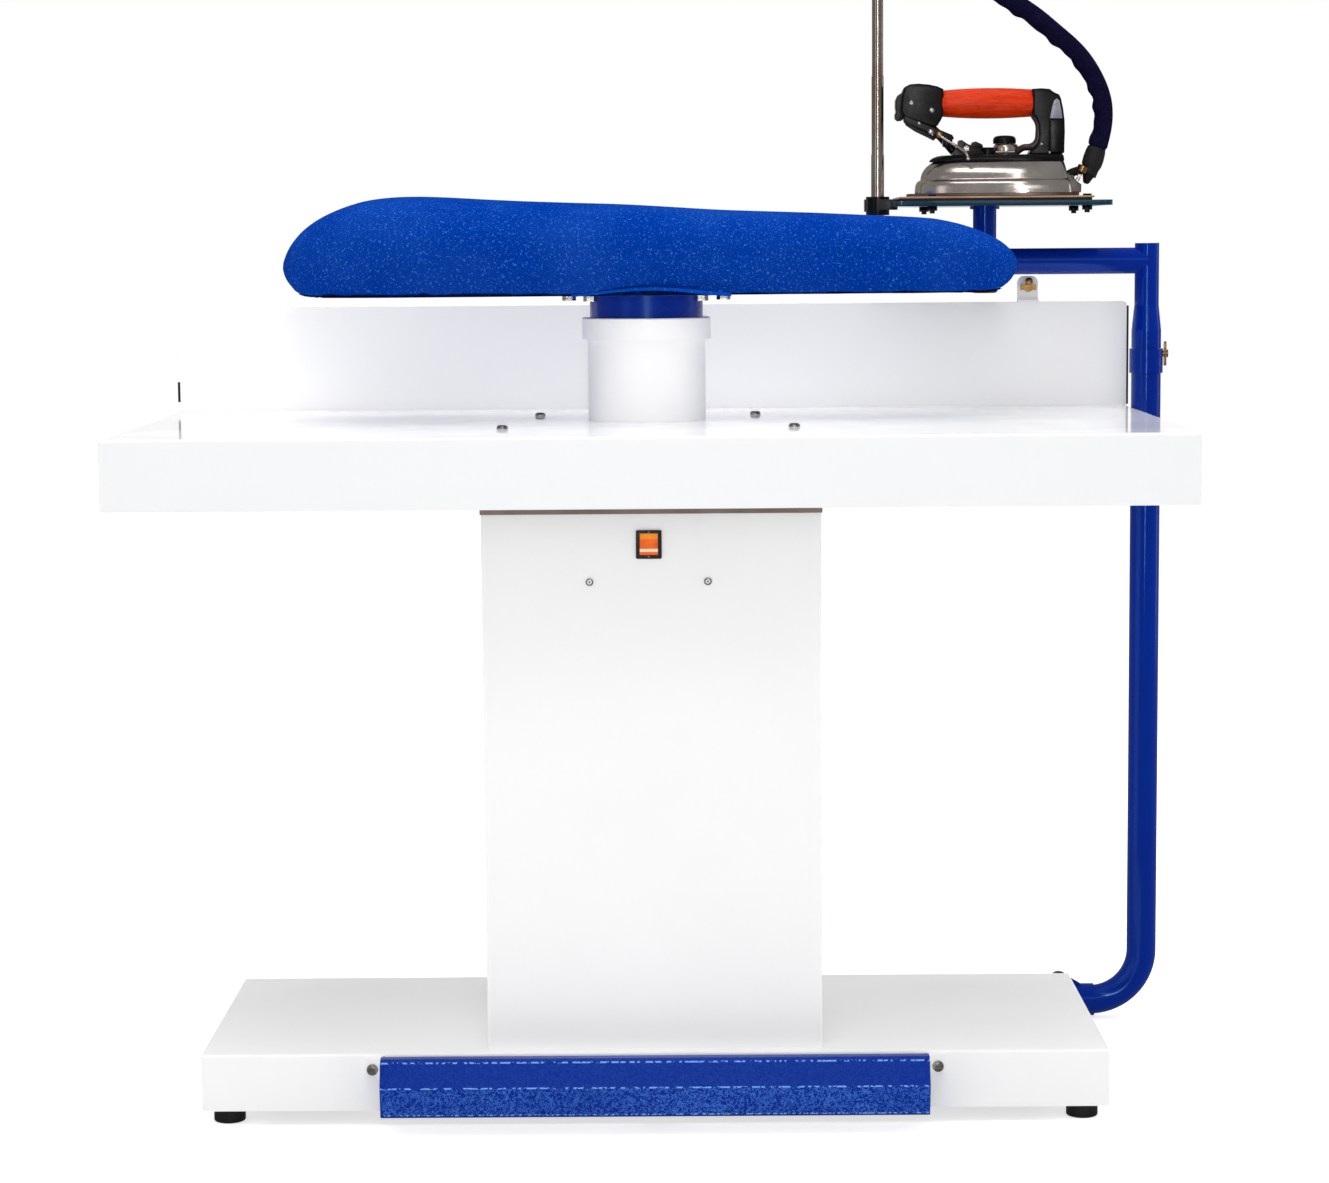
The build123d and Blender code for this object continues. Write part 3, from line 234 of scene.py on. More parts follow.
def make_room():
    """Even light on the object, with white behind it for what the camera, metal and glass see."""
    world = bpy.data.worlds.new("studio")
    scene.world = world
    world.use_nodes = True
    tree = world.node_tree
    tree.nodes.clear()
    ray = tree.nodes.new("ShaderNodeLightPath").outputs
    place = tree.nodes.new("ShaderNodeTexCoord").outputs["Generated"]
    depth = range_node(tree, axes_of(tree, place)["Y"], 0.86, 0.96, 0.26, 1.0, "LINEAR")
    mirrored = add_node(tree, "ShaderNodeBackground", {"Strength": depth})
    ambient = add_node(tree, "ShaderNodeBackground", {"Color": plain, "Strength": 0.54})
    backdrop = add_node(tree, "ShaderNodeBackground", {"Color": plain, "Strength": 1.0})
    either = math_node(tree, "MAXIMUM", ray["Is Camera Ray"], ray["Is Transmission Ray"])
    glossy = mix_shaders(tree, ray["Is Glossy Ray"], ambient, mirrored)
    output = tree.nodes.new("ShaderNodeOutputWorld")
    tree.links.new(mix_shaders(tree, either, glossy, backdrop), output.inputs["Surface"])


def make_floor():
    """A pale round floor that reads as white to the camera and still takes the object's shadow."""
    bpy.ops.mesh.primitive_circle_add(vertices=96, radius=14, fill_type="NGON", location=(0, 0, -0.0004))
    floor = bpy.context.object
    floor.name = "studio_floor"
    material = bpy.data.materials.new("pale_floor")
    material.use_nodes = True
    tree = material.node_tree
    tree.nodes.clear()
    ray = tree.nodes.new("ShaderNodeLightPath").outputs
    matt = add_node(tree, "ShaderNodeBsdfDiffuse", {"Color": (0.80, 0.80, 0.80, 1)})
    glow = add_node(tree, "ShaderNodeEmission", {"Strength": 0.64})
    dim = add_node(tree, "ShaderNodeEmission", {"Strength": 0.22})
    mirrored = mix_shaders(tree, ray["Is Glossy Ray"], matt, dim)
    lit = add_node(tree, "ShaderNodeAddShader", {0: matt, 1: glow})
    output = tree.nodes.new("ShaderNodeOutputMaterial")
    tree.links.new(mix_shaders(tree, ray["Is Camera Ray"], mirrored, lit), output.inputs["Surface"])
    floor.data.materials.append(material)


# Shared effects

def new_group(name, inputs, outputs):
    """An empty effect with its named inputs and outputs."""
    group = bpy.data.node_groups.new(name, "ShaderNodeTree")
    for label, value in inputs.items():
        kind = "NodeSocketVector" if isinstance(value, tuple) else "NodeSocketFloat"
        socket = group.interface.new_socket(name=label, in_out="INPUT", socket_type=kind)
        socket.default_value = value
    for label in outputs:
        group.interface.new_socket(name=label, in_out="OUTPUT", socket_type="NodeSocketFloat")
    return group, group.nodes.new("NodeGroupInput"), group.nodes.new("NodeGroupOutput")


def make_skin_group():
    """Sprayed or moulded skin: a fine ripple, and a slow change of tone over a hand's width."""
    inputs = {"Ripple Scale": 420.0, "Tone Scale": 4.0}
    group, given, result = new_group("sprayed_skin", inputs, ["Ripple", "Tone"])
    place = surface_place(group)
    ripple = noise_node(group, place, given.outputs["Ripple Scale"], 2.0)
    tone = noise_node(group, place, given.outputs["Tone Scale"], 3.0)
    group.links.new(ripple, result.inputs["Ripple"])
    group.links.new(range_node(group, tone, 0.3, 0.7), result.inputs["Tone"])
    return group


def make_dust_group():
    """Dust that settles where a surface faces up, thicker in patches."""
    group, given, result = new_group("settled_dust", {"Patch Scale": 9.0, "Amount": 0.5}, ["Dust"])
    upward = range_node(group, facing_up(group), 0.4, 0.95)
    patch = noise_node(group, surface_place(group), given.outputs["Patch Scale"], 6.0, 0.7)
    dust = math_node(group, "MULTIPLY", upward, range_node(group, patch, 0.35, 0.8))
    group.links.new(math_node(group, "MULTIPLY", dust, given.outputs["Amount"]), result.inputs["Dust"])
    return group


def make_grain_group():
    """A grain drawn out along one direction: brushed metal, wood or a cut edge."""
    inputs = {"Stretch": (60.0, 900.0, 900.0), "Wander": 0.4}
    group, given, result = new_group("drawn_grain", inputs, ["Grain", "Fibre"])
    scaled = group.nodes.new("ShaderNodeVectorMath")
    scaled.operation = "MULTIPLY"
    set_inputs(group, scaled, {0: surface_place(group), 1: given.outputs["Stretch"]})
    grain = noise_node(group, scaled.outputs["Vector"], 1.0, 4.0, 0.6, given.outputs["Wander"])
    fibre = noise_node(group, scaled.outputs["Vector"], 3.7, 2.0, 0.5, given.outputs["Wander"])
    group.links.new(grain, result.inputs["Grain"])
    group.links.new(fibre, result.inputs["Fibre"])
    return group


def make_weave_group():
    """Two crossing sets of threads that follow the surface over its top and down its sides."""
    inputs = {"Threads": 900.0, "Slub": 0.5}
    group, given, result = new_group("plain_weave", inputs, ["Height", "Speckle"])
    place = surface_place(group)
    axes = axes_of(group, place)
    across = math_node(group, "ADD", axes["Y"], axes["Z"])
    turns = math_node(group, "MULTIPLY", given.outputs["Threads"], math.tau)
    warp = math_node(group, "SINE", math_node(group, "MULTIPLY", axes["X"], turns))
    weft = math_node(group, "SINE", math_node(group, "MULTIPLY", across, turns))
    crossing = math_node(group, "MULTIPLY", warp, weft)
    slub = noise_node(group, place, 460.0, 3.0, 0.65, 0.6)
    uneven = math_node(group, "MULTIPLY", slub, given.outputs["Slub"])
    height = math_node(group, "ADD", math_node(group, "MULTIPLY", crossing, 0.35), uneven)
    group.links.new(height, result.inputs["Height"])
    group.links.new(range_node(group, slub, 0.55, 0.70), result.inputs["Speckle"])
    return group


SKIN = make_skin_group()
DUST = make_dust_group()
GRAIN = make_grain_group()
WEAVE = make_weave_group()


# Finishes

def new_finish(name):
    material = bpy.data.materials.new(name)
    material.use_nodes = True
    return material, material.node_tree, material.node_tree.nodes["Principled BSDF"]


def placed(tree, group, values):
    """A shared effect placed in a finish with the finish's own values."""
    made = tree.nodes.new("ShaderNodeGroup")
    made.node_tree = group
    set_inputs(tree, made, values)
    return made.outputs


def bump(tree, shader, height, strength, distance):
    values = {"Strength": strength, "Distance": distance, "Height": height}
    tree.links.new(add_node(tree, "ShaderNodeBump", values, "Normal"), shader.inputs["Normal"])


def enamel(name, colour, deep, dust_colour, rough, peel=0.10, tint=(1, 1, 1, 1), dust=0.4, shine=0.5):
    """Sprayed enamel: a slow change of tone, orange peel, and a little dust on what faces up."""
    material, tree, shader = new_finish(name)
    skin = placed(tree, SKIN, {"Ripple Scale": 380.0, "Tone Scale": 3.0})
    settled = placed(tree, DUST, {"Patch Scale": 11.0, "Amount": dust})
    toned = blend_colours(tree, skin["Tone"], colour, deep)
    set_inputs(tree, shader, {
        "Base Color": blend_colours(tree, settled["Dust"], toned, dust_colour),
        "Roughness": range_node(tree, skin["Tone"], 0, 1, rough, rough + 0.05),
        "Specular Tint": tint,
        "Specular IOR Level": shine,
    })
    bump(tree, shader, skin["Ripple"], peel, 0.0004)
    return material


def tray_enamel():
    """The tray's enamel: use keeps its top polished, and its rim is rougher and carries a painted shade, a
    little darker than the top.
    """
    material = enamel("tray_enamel", white, white_deep, dust_white, 0.4, 0.03, plain, 0.1)
    tree = material.node_tree
    shader = tree.nodes["Principled BSDF"]
    skin = placed(tree, SKIN, {"Ripple Scale": 90.0, "Tone Scale": 8.0})
    worn = range_node(tree, skin["Tone"], 0, 1, 0.05, 0.09)
    top = range_node(tree, facing_up(tree), 0.6, 0.95)
    kept = math_node(tree, "MULTIPLY", math_node(tree, "SUBTRACT", 1.0, top), 0.42)
    # Painted shade: what does not face up, the rim, gets a slightly darker white (239, 240, 241) than the top.
    painted = shader.inputs["Base Color"].links[0].from_socket
    set_inputs(tree, shader, {
        "Base Color": blend_colours(tree, top, (239, 240, 241), painted),
        "Roughness": math_node(tree, "ADD", kept, worn),
    })
    return material


def wrinkle_enamel(name, colour, light, glint):
    """Blue hammered enamel: worm-like ridges painted lighter as if lit, most on the lower face, and a painted
    highlight dashed along each fold.
    """
    material, tree, shader = new_finish(name)
    place = surface_place(tree)
    height = axes_of(tree, place)["Z"]
    worms = noise_node(tree, place, 330.0, 1.0, 0.4, 1.6)
    ridge = range_node(tree, worms, 0.44, 0.60)
    # Painted light: ridge tops are painted a lighter blue as if lit, strongest on the lower face between the
    # crease and the lip.
    below = range_node(tree, height, PEDAL_CREASE * MM, (PEDAL_CREASE - 1.2) * MM)
    above_lip = range_node(tree, height, PEDAL_LIP * MM, (PEDAL_LIP + 1.5) * MM)
    lower = math_node(tree, "MULTIPLY", below, above_lip)
    skin = placed(tree, SKIN, {"Ripple Scale": 900.0, "Tone Scale": 7.0})
    patchy = math_node(tree, "ADD", 0.55, math_node(tree, "MULTIPLY", skin["Tone"], 0.45))
    painted_lit_share = math_node(tree, "ADD", 0.12, math_node(tree, "MULTIPLY", lower, patchy))
    share = math_node(tree, "MULTIPLY", ridge, painted_lit_share)
    base = blend_colours(tree, share, colour, light)
    # Painted highlight: dashed glints along the top lip, the crease and the lower lip.
    folds = []
    for fold in (PEDAL_TOP - 2.2, PEDAL_CREASE, PEDAL_LIP + 1.0):
        away = math_node(tree, "ABSOLUTE", math_node(tree, "SUBTRACT", height, fold * MM))
        folds.append(range_node(tree, away, 0.0011, 0.0004))
    edge = math_node(tree, "MAXIMUM", math_node(tree, "MAXIMUM", folds[0], folds[1]), folds[2])
    beads = noise_node(tree, place, 260.0, 1.0, 0.3)
    fold_highlight_share = math_node(tree, "MULTIPLY", edge, range_node(tree, beads, 0.46, 0.56))
    set_inputs(tree, shader, {
        "Base Color": blend_colours(tree, fold_highlight_share, base, glint),
        "Roughness": range_node(tree, skin["Tone"], 0, 1, 0.30, 0.38),
        "Specular Tint": (0.3, 0.55, 1.0, 1),
        "Specular IOR Level": 0.35,
    })
    bump(tree, shader, ridge, 0.5, 0.0006)
    return material


def metal(name, colour, stain, rough, stretch=(40.0, 900.0, 900.0), grain=0.12):
    """Plated or drawn metal with faint drawing lines and stained patches."""
    material, tree, shader = new_finish(name)
    drawn = placed(tree, GRAIN, {"Stretch": stretch, "Wander": 0.3})
    skin = placed(tree, SKIN, {"Ripple Scale": 300.0, "Tone Scale": 22.0})
    set_inputs(tree, shader, {
        "Base Color": blend_colours(tree, skin["Tone"], colour, stain),
        "Metallic": 1.0,
        "Roughness": range_node(tree, drawn["Grain"], 0.3, 0.7, rough * 0.8, rough * 1.3),
    })
    bump(tree, shader, drawn["Fibre"], grain, 0.0001)
    return material


def plastic(name, colour, worn, rough, texture=700.0, depth=0.15, shine=0.5):
    """Moulded plastic or rubber with a fine texture, a little greyer where it is handled and dusty."""
    material, tree, shader = new_finish(name)
    skin = placed(tree, SKIN, {"Ripple Scale": texture, "Tone Scale": 26.0})
    settled = placed(tree, DUST, {"Patch Scale": 40.0, "Amount": 0.05})
    toned = blend_colours(tree, skin["Tone"], colour, worn)
    set_inputs(tree, shader, {
        "Base Color": blend_colours(tree, settled["Dust"], toned, (120, 118, 115)),
        "Roughness": range_node(tree, skin["Tone"], 0, 1, rough, rough + 0.08),
        "Specular IOR Level": shine,
    })
    bump(tree, shader, skin["Ripple"], depth, 0.0003)
    return material


def cloth(name, colour, fleck, threads=900.0, depth=0.35, rough=0.85):
    """Woven cotton: threads, uneven yarn and lighter flecks."""
    material, tree, shader = new_finish(name)
    weave = placed(tree, WEAVE, {"Threads": threads, "Slub": 0.8})
    skin = placed(tree, SKIN, {"Ripple Scale": 60.0, "Tone Scale": 9.0})
    fade = math_node(tree, "MULTIPLY", weave["Speckle"], 0.8)
    body = math_node(tree, "MULTIPLY", skin["Tone"], 0.10)
    share = math_node(tree, "ADD", fade, body)
    set_inputs(tree, shader, {
        "Base Color": blend_colours(tree, share, colour, fleck),
        "Roughness": range_node(tree, weave["Speckle"], 0, 1, rough, rough + 0.08),
        "Specular IOR Level": 0.0,
    })
    bump(tree, shader, weave["Height"], depth, 0.0005)
    return material


def make_wood():
    """Stained beech under varnish: dark pores along the handle and a slow warm figure."""
    material, tree, shader = new_finish("stained_handle_wood")
    grain = placed(tree, GRAIN, {"Stretch": (28.0, 420.0, 420.0), "Wander": 1.4})
    pores = range_node(tree, grain["Fibre"], 0.56, 0.72)
    figure = range_node(tree, grain["Grain"], 0.34, 0.66)
    warm = blend_colours(tree, figure, (188, 38, 4), (216, 60, 12))
    pored = math_node(tree, "MULTIPLY", pores, 0.55)
    set_inputs(tree, shader, {
        "Base Color": blend_colours(tree, pored, warm, (128, 26, 6)),
        "Roughness": range_node(tree, pores, 0, 1, 0.34, 0.5),
        "Specular IOR Level": 0.12,
        "Coat Weight": 0.06,
        "Coat Roughness": 0.2,
    })
    bump(tree, shader, grain["Fibre"], 0.12, 0.0002)
    return material


def make_glass():
    material, tree, shader = new_finish("tinted_plate_glass")
    skin = placed(tree, SKIN, {"Ripple Scale": 12.0, "Tone Scale": 16.0})
    set_inputs(tree, shader, {
        "Base Color": shade_of(20, 62, 84),
        "Roughness": range_node(tree, skin["Tone"], 0, 1, 0.02, 0.06),
        "Transmission Weight": 0.5,
        "IOR": 1.5,
    })
    return material


def make_lens():
    """The switch's orange lens: yellow along its upper edge, with a pale lit band near its lower one."""
    material, tree, shader = new_finish("orange_switch_lens")
    height = axes_of(tree, surface_place(tree))["Z"]
    skin = placed(tree, SKIN, {"Ripple Scale": 500.0, "Tone Scale": 90.0})
    orange = blend_colours(tree, skin["Tone"], (236, 84, 2), (248, 108, 8))
    upper = range_node(tree, height, (SWITCH_Z + 4.6) * MM, (SWITCH_Z + 6.4) * MM)
    topped = blend_colours(tree, upper, orange, (252, 150, 20))
    away = math_node(tree, "ABSOLUTE", math_node(tree, "SUBTRACT", height, (SWITCH_Z - 6.0) * MM))
    band = range_node(tree, away, 0.0019, 0.0012)
    set_inputs(tree, shader, {
        "Base Color": blend_colours(tree, band, topped, (255, 232, 196)),
        "Roughness": 0.3,
        "Specular IOR Level": 0.2,
        "Emission Color": shade_of(255, 110, 10),
        "Emission Strength": 0.06,
    })
    bump(tree, shader, skin["Ripple"], 0.08, 0.0002)
    return material


white = (249, 249, 249)
white_deep = (246, 246, 246)
dust_white = (236, 236, 234)
highlight_blue = (0.30, 0.60, 1.0, 1)
dust_blue = (20, 56, 140)
plain = (1, 1, 1, 1)
FINISHES = {
    "white_gloss": enamel("white_enamel", white, white_deep, dust_white, 0.36, 0.06, plain, 0.2, 0.2),
    "tray_gloss": tray_enamel(),
    "blue_gloss": enamel(
        "blue_enamel", (0, 38, 142), (0, 28, 122), dust_blue, 0.09, 0.04, highlight_blue, 0.1,
    ),
    "hub_gloss": enamel(
        "hub_enamel", (0, 38, 146), (0, 32, 132), dust_blue, 0.24, 0.05, highlight_blue, 0.1,
    ),
    # The pedal's second colour is its painted lit blue, the third its painted highlight along the folds.
    "pedal_blue": wrinkle_enamel("hammered_blue", (0, 38, 140), (58, 106, 202), (120, 168, 240)),
    "gasket": plastic("brown_gasket_rubber", (124, 108, 98), (140, 126, 116), 0.75, 500.0, 0.3),
    "rubber": plastic("black_rubber", (12, 12, 13), (22, 22, 22), 0.62, 600.0, 0.3),
    "black": plastic("black_moulding", (7, 7, 8), (13, 13, 14), 0.24, 900.0, 0.10, 0.22),
    "chrome": metal("chrome_plate", (238, 230, 224), (220, 208, 200), 0.18),
    "pole_chrome": metal("pole_chrome", (200, 190, 182), (176, 158, 146), 0.14, (160.0, 160.0, 6.0), 0.0),
    "zinc": metal("zinc_plate", (176, 174, 170), (140, 136, 130), 0.26),
    "galvanised": metal("galvanised_sheet", (172, 176, 178), (150, 154, 158), 0.38, (40.0, 120.0, 120.0)),
    "brass": metal("raw_brass", (196, 156, 104), (150, 110, 66), 0.24),
    "aluminium": metal("cast_aluminium", (138, 132, 128), (104, 98, 94), 0.36),
    "grey_lens": plastic("grey_lens", (112, 114, 126), (132, 134, 144), 0.18, 300.0, 0.05),
    "brown_gloss": plastic("brown_gloss_sleeve", (44, 30, 28), (60, 44, 40), 0.22, 300.0, 0.08),
    "motor_grey": enamel(
        "motor_grey_paint", (112, 116, 120), (98, 102, 106), (130, 130, 128),
        0.5, 0.3, plain,
    ),
    "blue_cloth": cloth("blue_cover_cloth", (0, 48, 140), (56, 112, 204)),
    "piping": cloth("blue_cover_piping", (4, 62, 160), (40, 110, 210), 1400.0, 0.1, 0.55),
    "foam": plastic("white_pad_foam", (232, 230, 222), (214, 210, 198), 0.9, 300.0, 0.6),
    "sleeve": cloth("navy_hose_sleeve", (15, 13, 36), (30, 28, 62), 700.0, 0.3, 0.78),
    "rest_sheet": plastic("tan_rest_sheet", (198, 152, 118), (176, 126, 92), 0.42, 300.0, 0.2),
    "wood": make_wood(),
    "glass": make_glass(),
    "lens": make_lens(),
}

DRESSED = {
    "white_gloss": [
        "base_box", "column_shell", "column_rear_cover", "splash_panel", "panel_bracket", "duct_pipe",
        "duct_collar", "pedal_brackets",
    ],
    "rubber": ["base_feet", "panel_edge_trim", "rest_mat", "upper_hose"],
    "zinc": ["dome_bolts", "pan_head_screws", "pedal_spring", "hub_bolts"],
    "gasket": ["top_gasket"],
    "galvanised": ["tray_support_frame", "fan_housing", "fan_shelf", "fan_impeller", "form_plate"],
    "tray_gloss": ["tray_pan"],
    "brass": ["bracket_wing_nut", "collar_wing_screw"],
    "motor_grey": ["fan_motor"],
    "pedal_blue": ["foot_pedal"],
    "black": [
        "pedal_microswitch", "switch_bezel", "bracket_knob", "swivel_bush", "rest_pipe_cap", "rest_bolts",
        "pole_clamp", "hose_hanger", "iron_top_cover", "thermostat_knob", "iron_handle_mounts",
        "iron_trigger", "hose_coupling",
    ],
    "lens": ["switch_rocker"],
    "hub_gloss": ["form_hub", "form_pan"],
    "foam": ["form_pad"],
    "blue_cloth": ["form_cover"],
    "blue_gloss": ["lower_post", "post_elbow", "post_foot_bracket", "arm_tube", "rest_pipe"],
    "glass": ["rest_glass"],
    "rest_sheet": ["rest_sheet"],
    "pole_chrome": ["pole_lower", "pole_middle", "pole_top"],
    "aluminium": ["iron_sole"],
    "chrome": ["iron_skirt", "iron_steam_fittings"],
    "wood": ["iron_handle"],
    "sleeve": ["lower_hose"],
}


def dress(piece, finish):
    piece.data.materials.clear()
    piece.data.materials.append(FINISHES[finish])


def dress_nodes():
    for finish, names in DRESSED.items():
        for name in names:
            dress(nodes[name], finish)


# Modelling by hand

def focus(piece):
    """Only this piece is selected and active, in object mode."""
    if bpy.context.mode != "OBJECT":
        bpy.ops.object.mode_set(mode="OBJECT")
    bpy.ops.object.select_all(action="DESELECT")
    piece.select_set(True)
    bpy.context.view_layer.objects.active = piece


def edit(piece, kind="FACE"):
    focus(piece)
    bpy.ops.object.mode_set(mode="EDIT")
    bpy.ops.mesh.select_mode(type=kind)


def end_edit():
    bpy.ops.object.mode_set(mode="OBJECT")


def pick_all():
    bpy.ops.mesh.select_all(action="SELECT")


def write_place(piece):
    """Puts the piece's place, turn and size into its mesh."""
    focus(piece)
    bpy.ops.object.transform_apply(location=True, rotation=True, scale=True)


def new_object(name, data):
    piece = bpy.data.objects.new(name, data)
    scene.collection.objects.link(piece)
    return piece


def as_mesh(piece):
    focus(piece)
    bpy.ops.object.convert(target="MESH")
    return bpy.context.object


def pick(piece, rule):
    """In edit mode, selects the faces whose centre and normal meet the rule."""
    mesh = bmesh.from_edit_mesh(piece.data)
    for face in mesh.faces:
        face.select_set(rule(face.calc_center_median(), face.normal))
    mesh.select_flush_mode()
    bmesh.update_edit_mesh(piece.data)


def copy_of(node, name):
    """A piece that starts as a CAD node's own shape, with its loose triangles merged."""
    piece = new_object(name, nodes[node].data.copy())
    piece.data.materials.clear()
    edit(piece, "VERT")
    pick_all()
    bpy.ops.mesh.remove_doubles(threshold=0.00001)
    end_edit()
    return piece


def apply_modifiers(piece):
    focus(piece)
    for modifier in list(piece.modifiers):
        bpy.ops.object.modifier_apply(modifier=modifier.name)


def settle(piece, body, finish, replaced=(), smooth=35.0):
    """Closes a piece: place in its mesh, normals outward, smooth by angle, dressed and riding."""
    write_place(piece)
    bpy.ops.object.mode_set(mode="EDIT")
    pick_all()
    bpy.ops.mesh.remove_doubles(threshold=0.000005)
    bpy.ops.mesh.normals_make_consistent(inside=False)
    end_edit()
    bpy.ops.object.shade_smooth_by_angle(angle=math.radians(smooth))
    dress(piece, finish)
    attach(piece, body)
    if replaced:
        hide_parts(*replaced)


# Hoses

def spline_points(name, route, steps):
    """The points of a smooth line whose control points are the route's, in metres."""
    line = bpy.data.curves.new(name, "CURVE")
    line.dimensions = "3D"
    line.resolution_u = steps
    spline = line.splines.new("NURBS")
    spline.points.add(len(route) - 1)
    for point, place in zip(spline.points, route):
        point.co = (*at(*place), 1.0)
    spline.order_u = 3
    spline.use_endpoint_u = True
    holder = new_object(name, line)
    bpy.context.view_layer.update()
    mesh = bpy.data.meshes.new_from_object(holder)
    points = [vertex.co.copy() for vertex in mesh.vertices]
    bpy.data.objects.remove(holder)
    return points


def tube_along(name, points, radius_at, sides=28):
    """A closed tube. radius_at(distance, angle) gives its radius; angle 0 is the outside of the bend."""
    rings = []
    distance = 0.0
    bend = sum(points, Vector()) / len(points)
    for index, point in enumerate(points):
        if index:
            distance += (point - points[index - 1]).length
        before = points[max(index - 1, 0)]
        after = points[min(index + 1, len(points) - 1)]
        along = (after - before).normalized()
        outward = point - bend
        outward = (outward - along * outward.dot(along)).normalized()
        side = along.cross(outward)
        ring = []
        for step in range(sides):
            angle = math.tau * step / sides
            reach = radius_at(distance, angle)
            ring.append(point + outward * math.cos(angle) * reach + side * math.sin(angle) * reach)
        rings.append(ring)
    places = [place for ring in rings for place in ring]
    faces = []
    for row in range(len(rings) - 1):
        for step in range(sides):
            low = row * sides + step
            high = row * sides + (step + 1) % sides
            faces.append((low, high, high + sides, low + sides))
    faces.append(tuple(reversed(range(sides))))
    faces.append(tuple(range(len(places) - sides, len(places))))
    mesh = bpy.data.meshes.new(name)
    mesh.from_pydata([tuple(place) for place in places], [], faces)
    return new_object(name, mesh)


def sleeve_radius(distance, angle):
    """A loose fabric sleeve: puckered on the inside of the bend, with a sewn seam along its outer front."""
    inside = 0.5 - 0.5 * math.cos(angle)
    pucker = math.sin(distance * 190 + 1.3 * math.sin(distance * 61))
    pucker += 0.6 * math.sin(distance * 330 + angle * 2)
    fold = math.sin(distance * 95 + angle * 3 + 0.7)
    reach = HOSE_RADIUS * MM * (0.99 + 0.085 * inside * pucker + 0.03 * fold)
    seam = math.exp(-((math.atan2(math.sin(angle + 0.9), math.cos(angle + 0.9))) / 0.11) ** 2)
    reach += 0.0009 * seam
    if distance < CUFF_LENGTH:
        reach -= 0.0013
    return reach


def make_hoses():
    points = spline_points("lower_hose_line", HOSE_ROUTE, 24)
    lower = tube_along("hose_sleeve", points, sleeve_radius)
    focus(lower)
    bpy.ops.object.shade_smooth()
    dress(lower, "sleeve")
    lower.data.materials.append(FINISHES["rubber"])
    for face in lower.data.polygons:
        centre = sum((lower.data.vertices[i].co for i in face.vertices), Vector()) / len(face.vertices)
        if (centre - points[0]).length < CUFF_LENGTH:
            face.material_index = 1
    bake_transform(lower)
    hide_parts("lower_hose")

    points = spline_points("upper_hose_line", UPPER_ROUTE, 12)
    upper = tube_along("upper_hose_tube", points, lambda distance, angle: UPPER_HOSE_RADIUS * MM)
    focus(upper)
    bpy.ops.object.shade_smooth()
    dress(upper, "rubber")
    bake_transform(upper)
    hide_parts("upper_hose")


# The padded form

def plan_reach(x, y):
    """How far a place lies outside the form's plan, in millimetres: two end circles and straight sides."""
    run = FORM_NOSE_X - FORM_TAIL_X
    lean = (FORM_TAIL_RADIUS - FORM_NOSE_RADIUS) / run
    up = math.sqrt(1 - lean * lean)
    along = x - FORM_TAIL_X
    across = abs(y - FORM_Y)
    share = along * up - across * lean
    if share < 0:
        return math.hypot(along, across) - FORM_TAIL_RADIUS
    if share > up * run:
        return math.hypot(along - run, across) - FORM_NOSE_RADIUS
    return across * up + along * lean - FORM_TAIL_RADIUS


def plan_reach_of(point):
    return plan_reach(point.x / MM + ORIGIN_X, point.y / MM + ORIGIN_Y)


def in_pocket(point):
    """True for the pocket under the pad where the pan and the plate sit."""
    return plan_reach_of(point) < -FORM_POCKET_INSET and point.z < FORM_POCKET_TOP * MM


def stuff(piece):
    """Blows the piece up a little as cloth, holding its pocket and flat underside, and caps every move."""
    start = [vertex.co.copy() for vertex in piece.data.vertices]
    held = piece.vertex_groups.new(name="held")
    floor = (FORM_BASE_Z + 6) * MM
    fixed = [v.index for v in piece.data.vertices if in_pocket(v.co) or v.co.z < floor]
    held.add(fixed, 1.0, "REPLACE")
    focus(piece)
    bpy.ops.object.modifier_add(type="CLOTH")
    cloth = piece.modifiers[-1]
    cloth.settings.use_pressure = True
    cloth.settings.uniform_pressure_force = CLOTH_PRESSURE
    cloth.settings.effector_weights.gravity = 0
    cloth.settings.vertex_group_mass = held.name
    cloth.point_cache.frame_end = CLOTH_FRAMES
    for moment in range(1, CLOTH_FRAMES + 1):
        scene.frame_set(moment)
    bpy.ops.object.modifier_apply(modifier=cloth.name)
    for vertex, before in zip(piece.data.vertices, start):
        move = vertex.co - before
        if move.length > CLOTH_MOST_MOVE:
            vertex.co = before + move.normalized() * CLOTH_MOST_MOVE
    piece.vertex_groups.clear()
    scene.frame_set(1)


def soft_folds(piece):
    """Slow unevenness over the pad, and short upright puckers where the cover is pulled in below."""
    base = FORM_BASE_Z * MM
    moved = []
    for vertex in piece.data.vertices:
        co = vertex.co
        if in_pocket(co):
            moved.append(co.copy())
            continue
        height = co.z - base
        low = math.exp(-((height - 0.012) / 0.014) ** 2)
        slow = noise.noise(co * 9.0) * 0.0016 * min(height / 0.03, 1.0)
        fold_place = Vector((co.x * 46.0, co.y * 46.0, co.z * 14.0))
        pucker = noise.noise(fold_place) * 0.0022 * low
        place = co + vertex.normal * (slow + pucker)
        place.z += FORM_CROWN_LIFT * MM * min(height / 0.05, 1.0)
        along = (co.x / MM + ORIGIN_X - HUB_X) / ARCH_HALF
        if abs(along) < 1 and co.y / MM + ORIGIN_Y < ARCH_BACK:
            lift = ARCH_RISE * MM * math.cos(along * math.pi / 2) ** 2
            place.z += lift * max(1 - height / 0.034, 0.0)
        moved.append(place)
    for vertex, place in zip(piece.data.vertices, moved):
        vertex.co = place


def make_hem():
    """The turned-in edge of the cover, which is tied under the pan."""
    hem = copy_of("form_cover", "cover_hem")
    edit(hem)
    top = (FORM_BASE_Z + 3.6) * MM
    pick(hem, lambda centre, normal: plan_reach_of(centre) > -FORM_POCKET_INSET or centre.z > top)
    bpy.ops.mesh.delete(type="FACE")
    end_edit()
    return hem


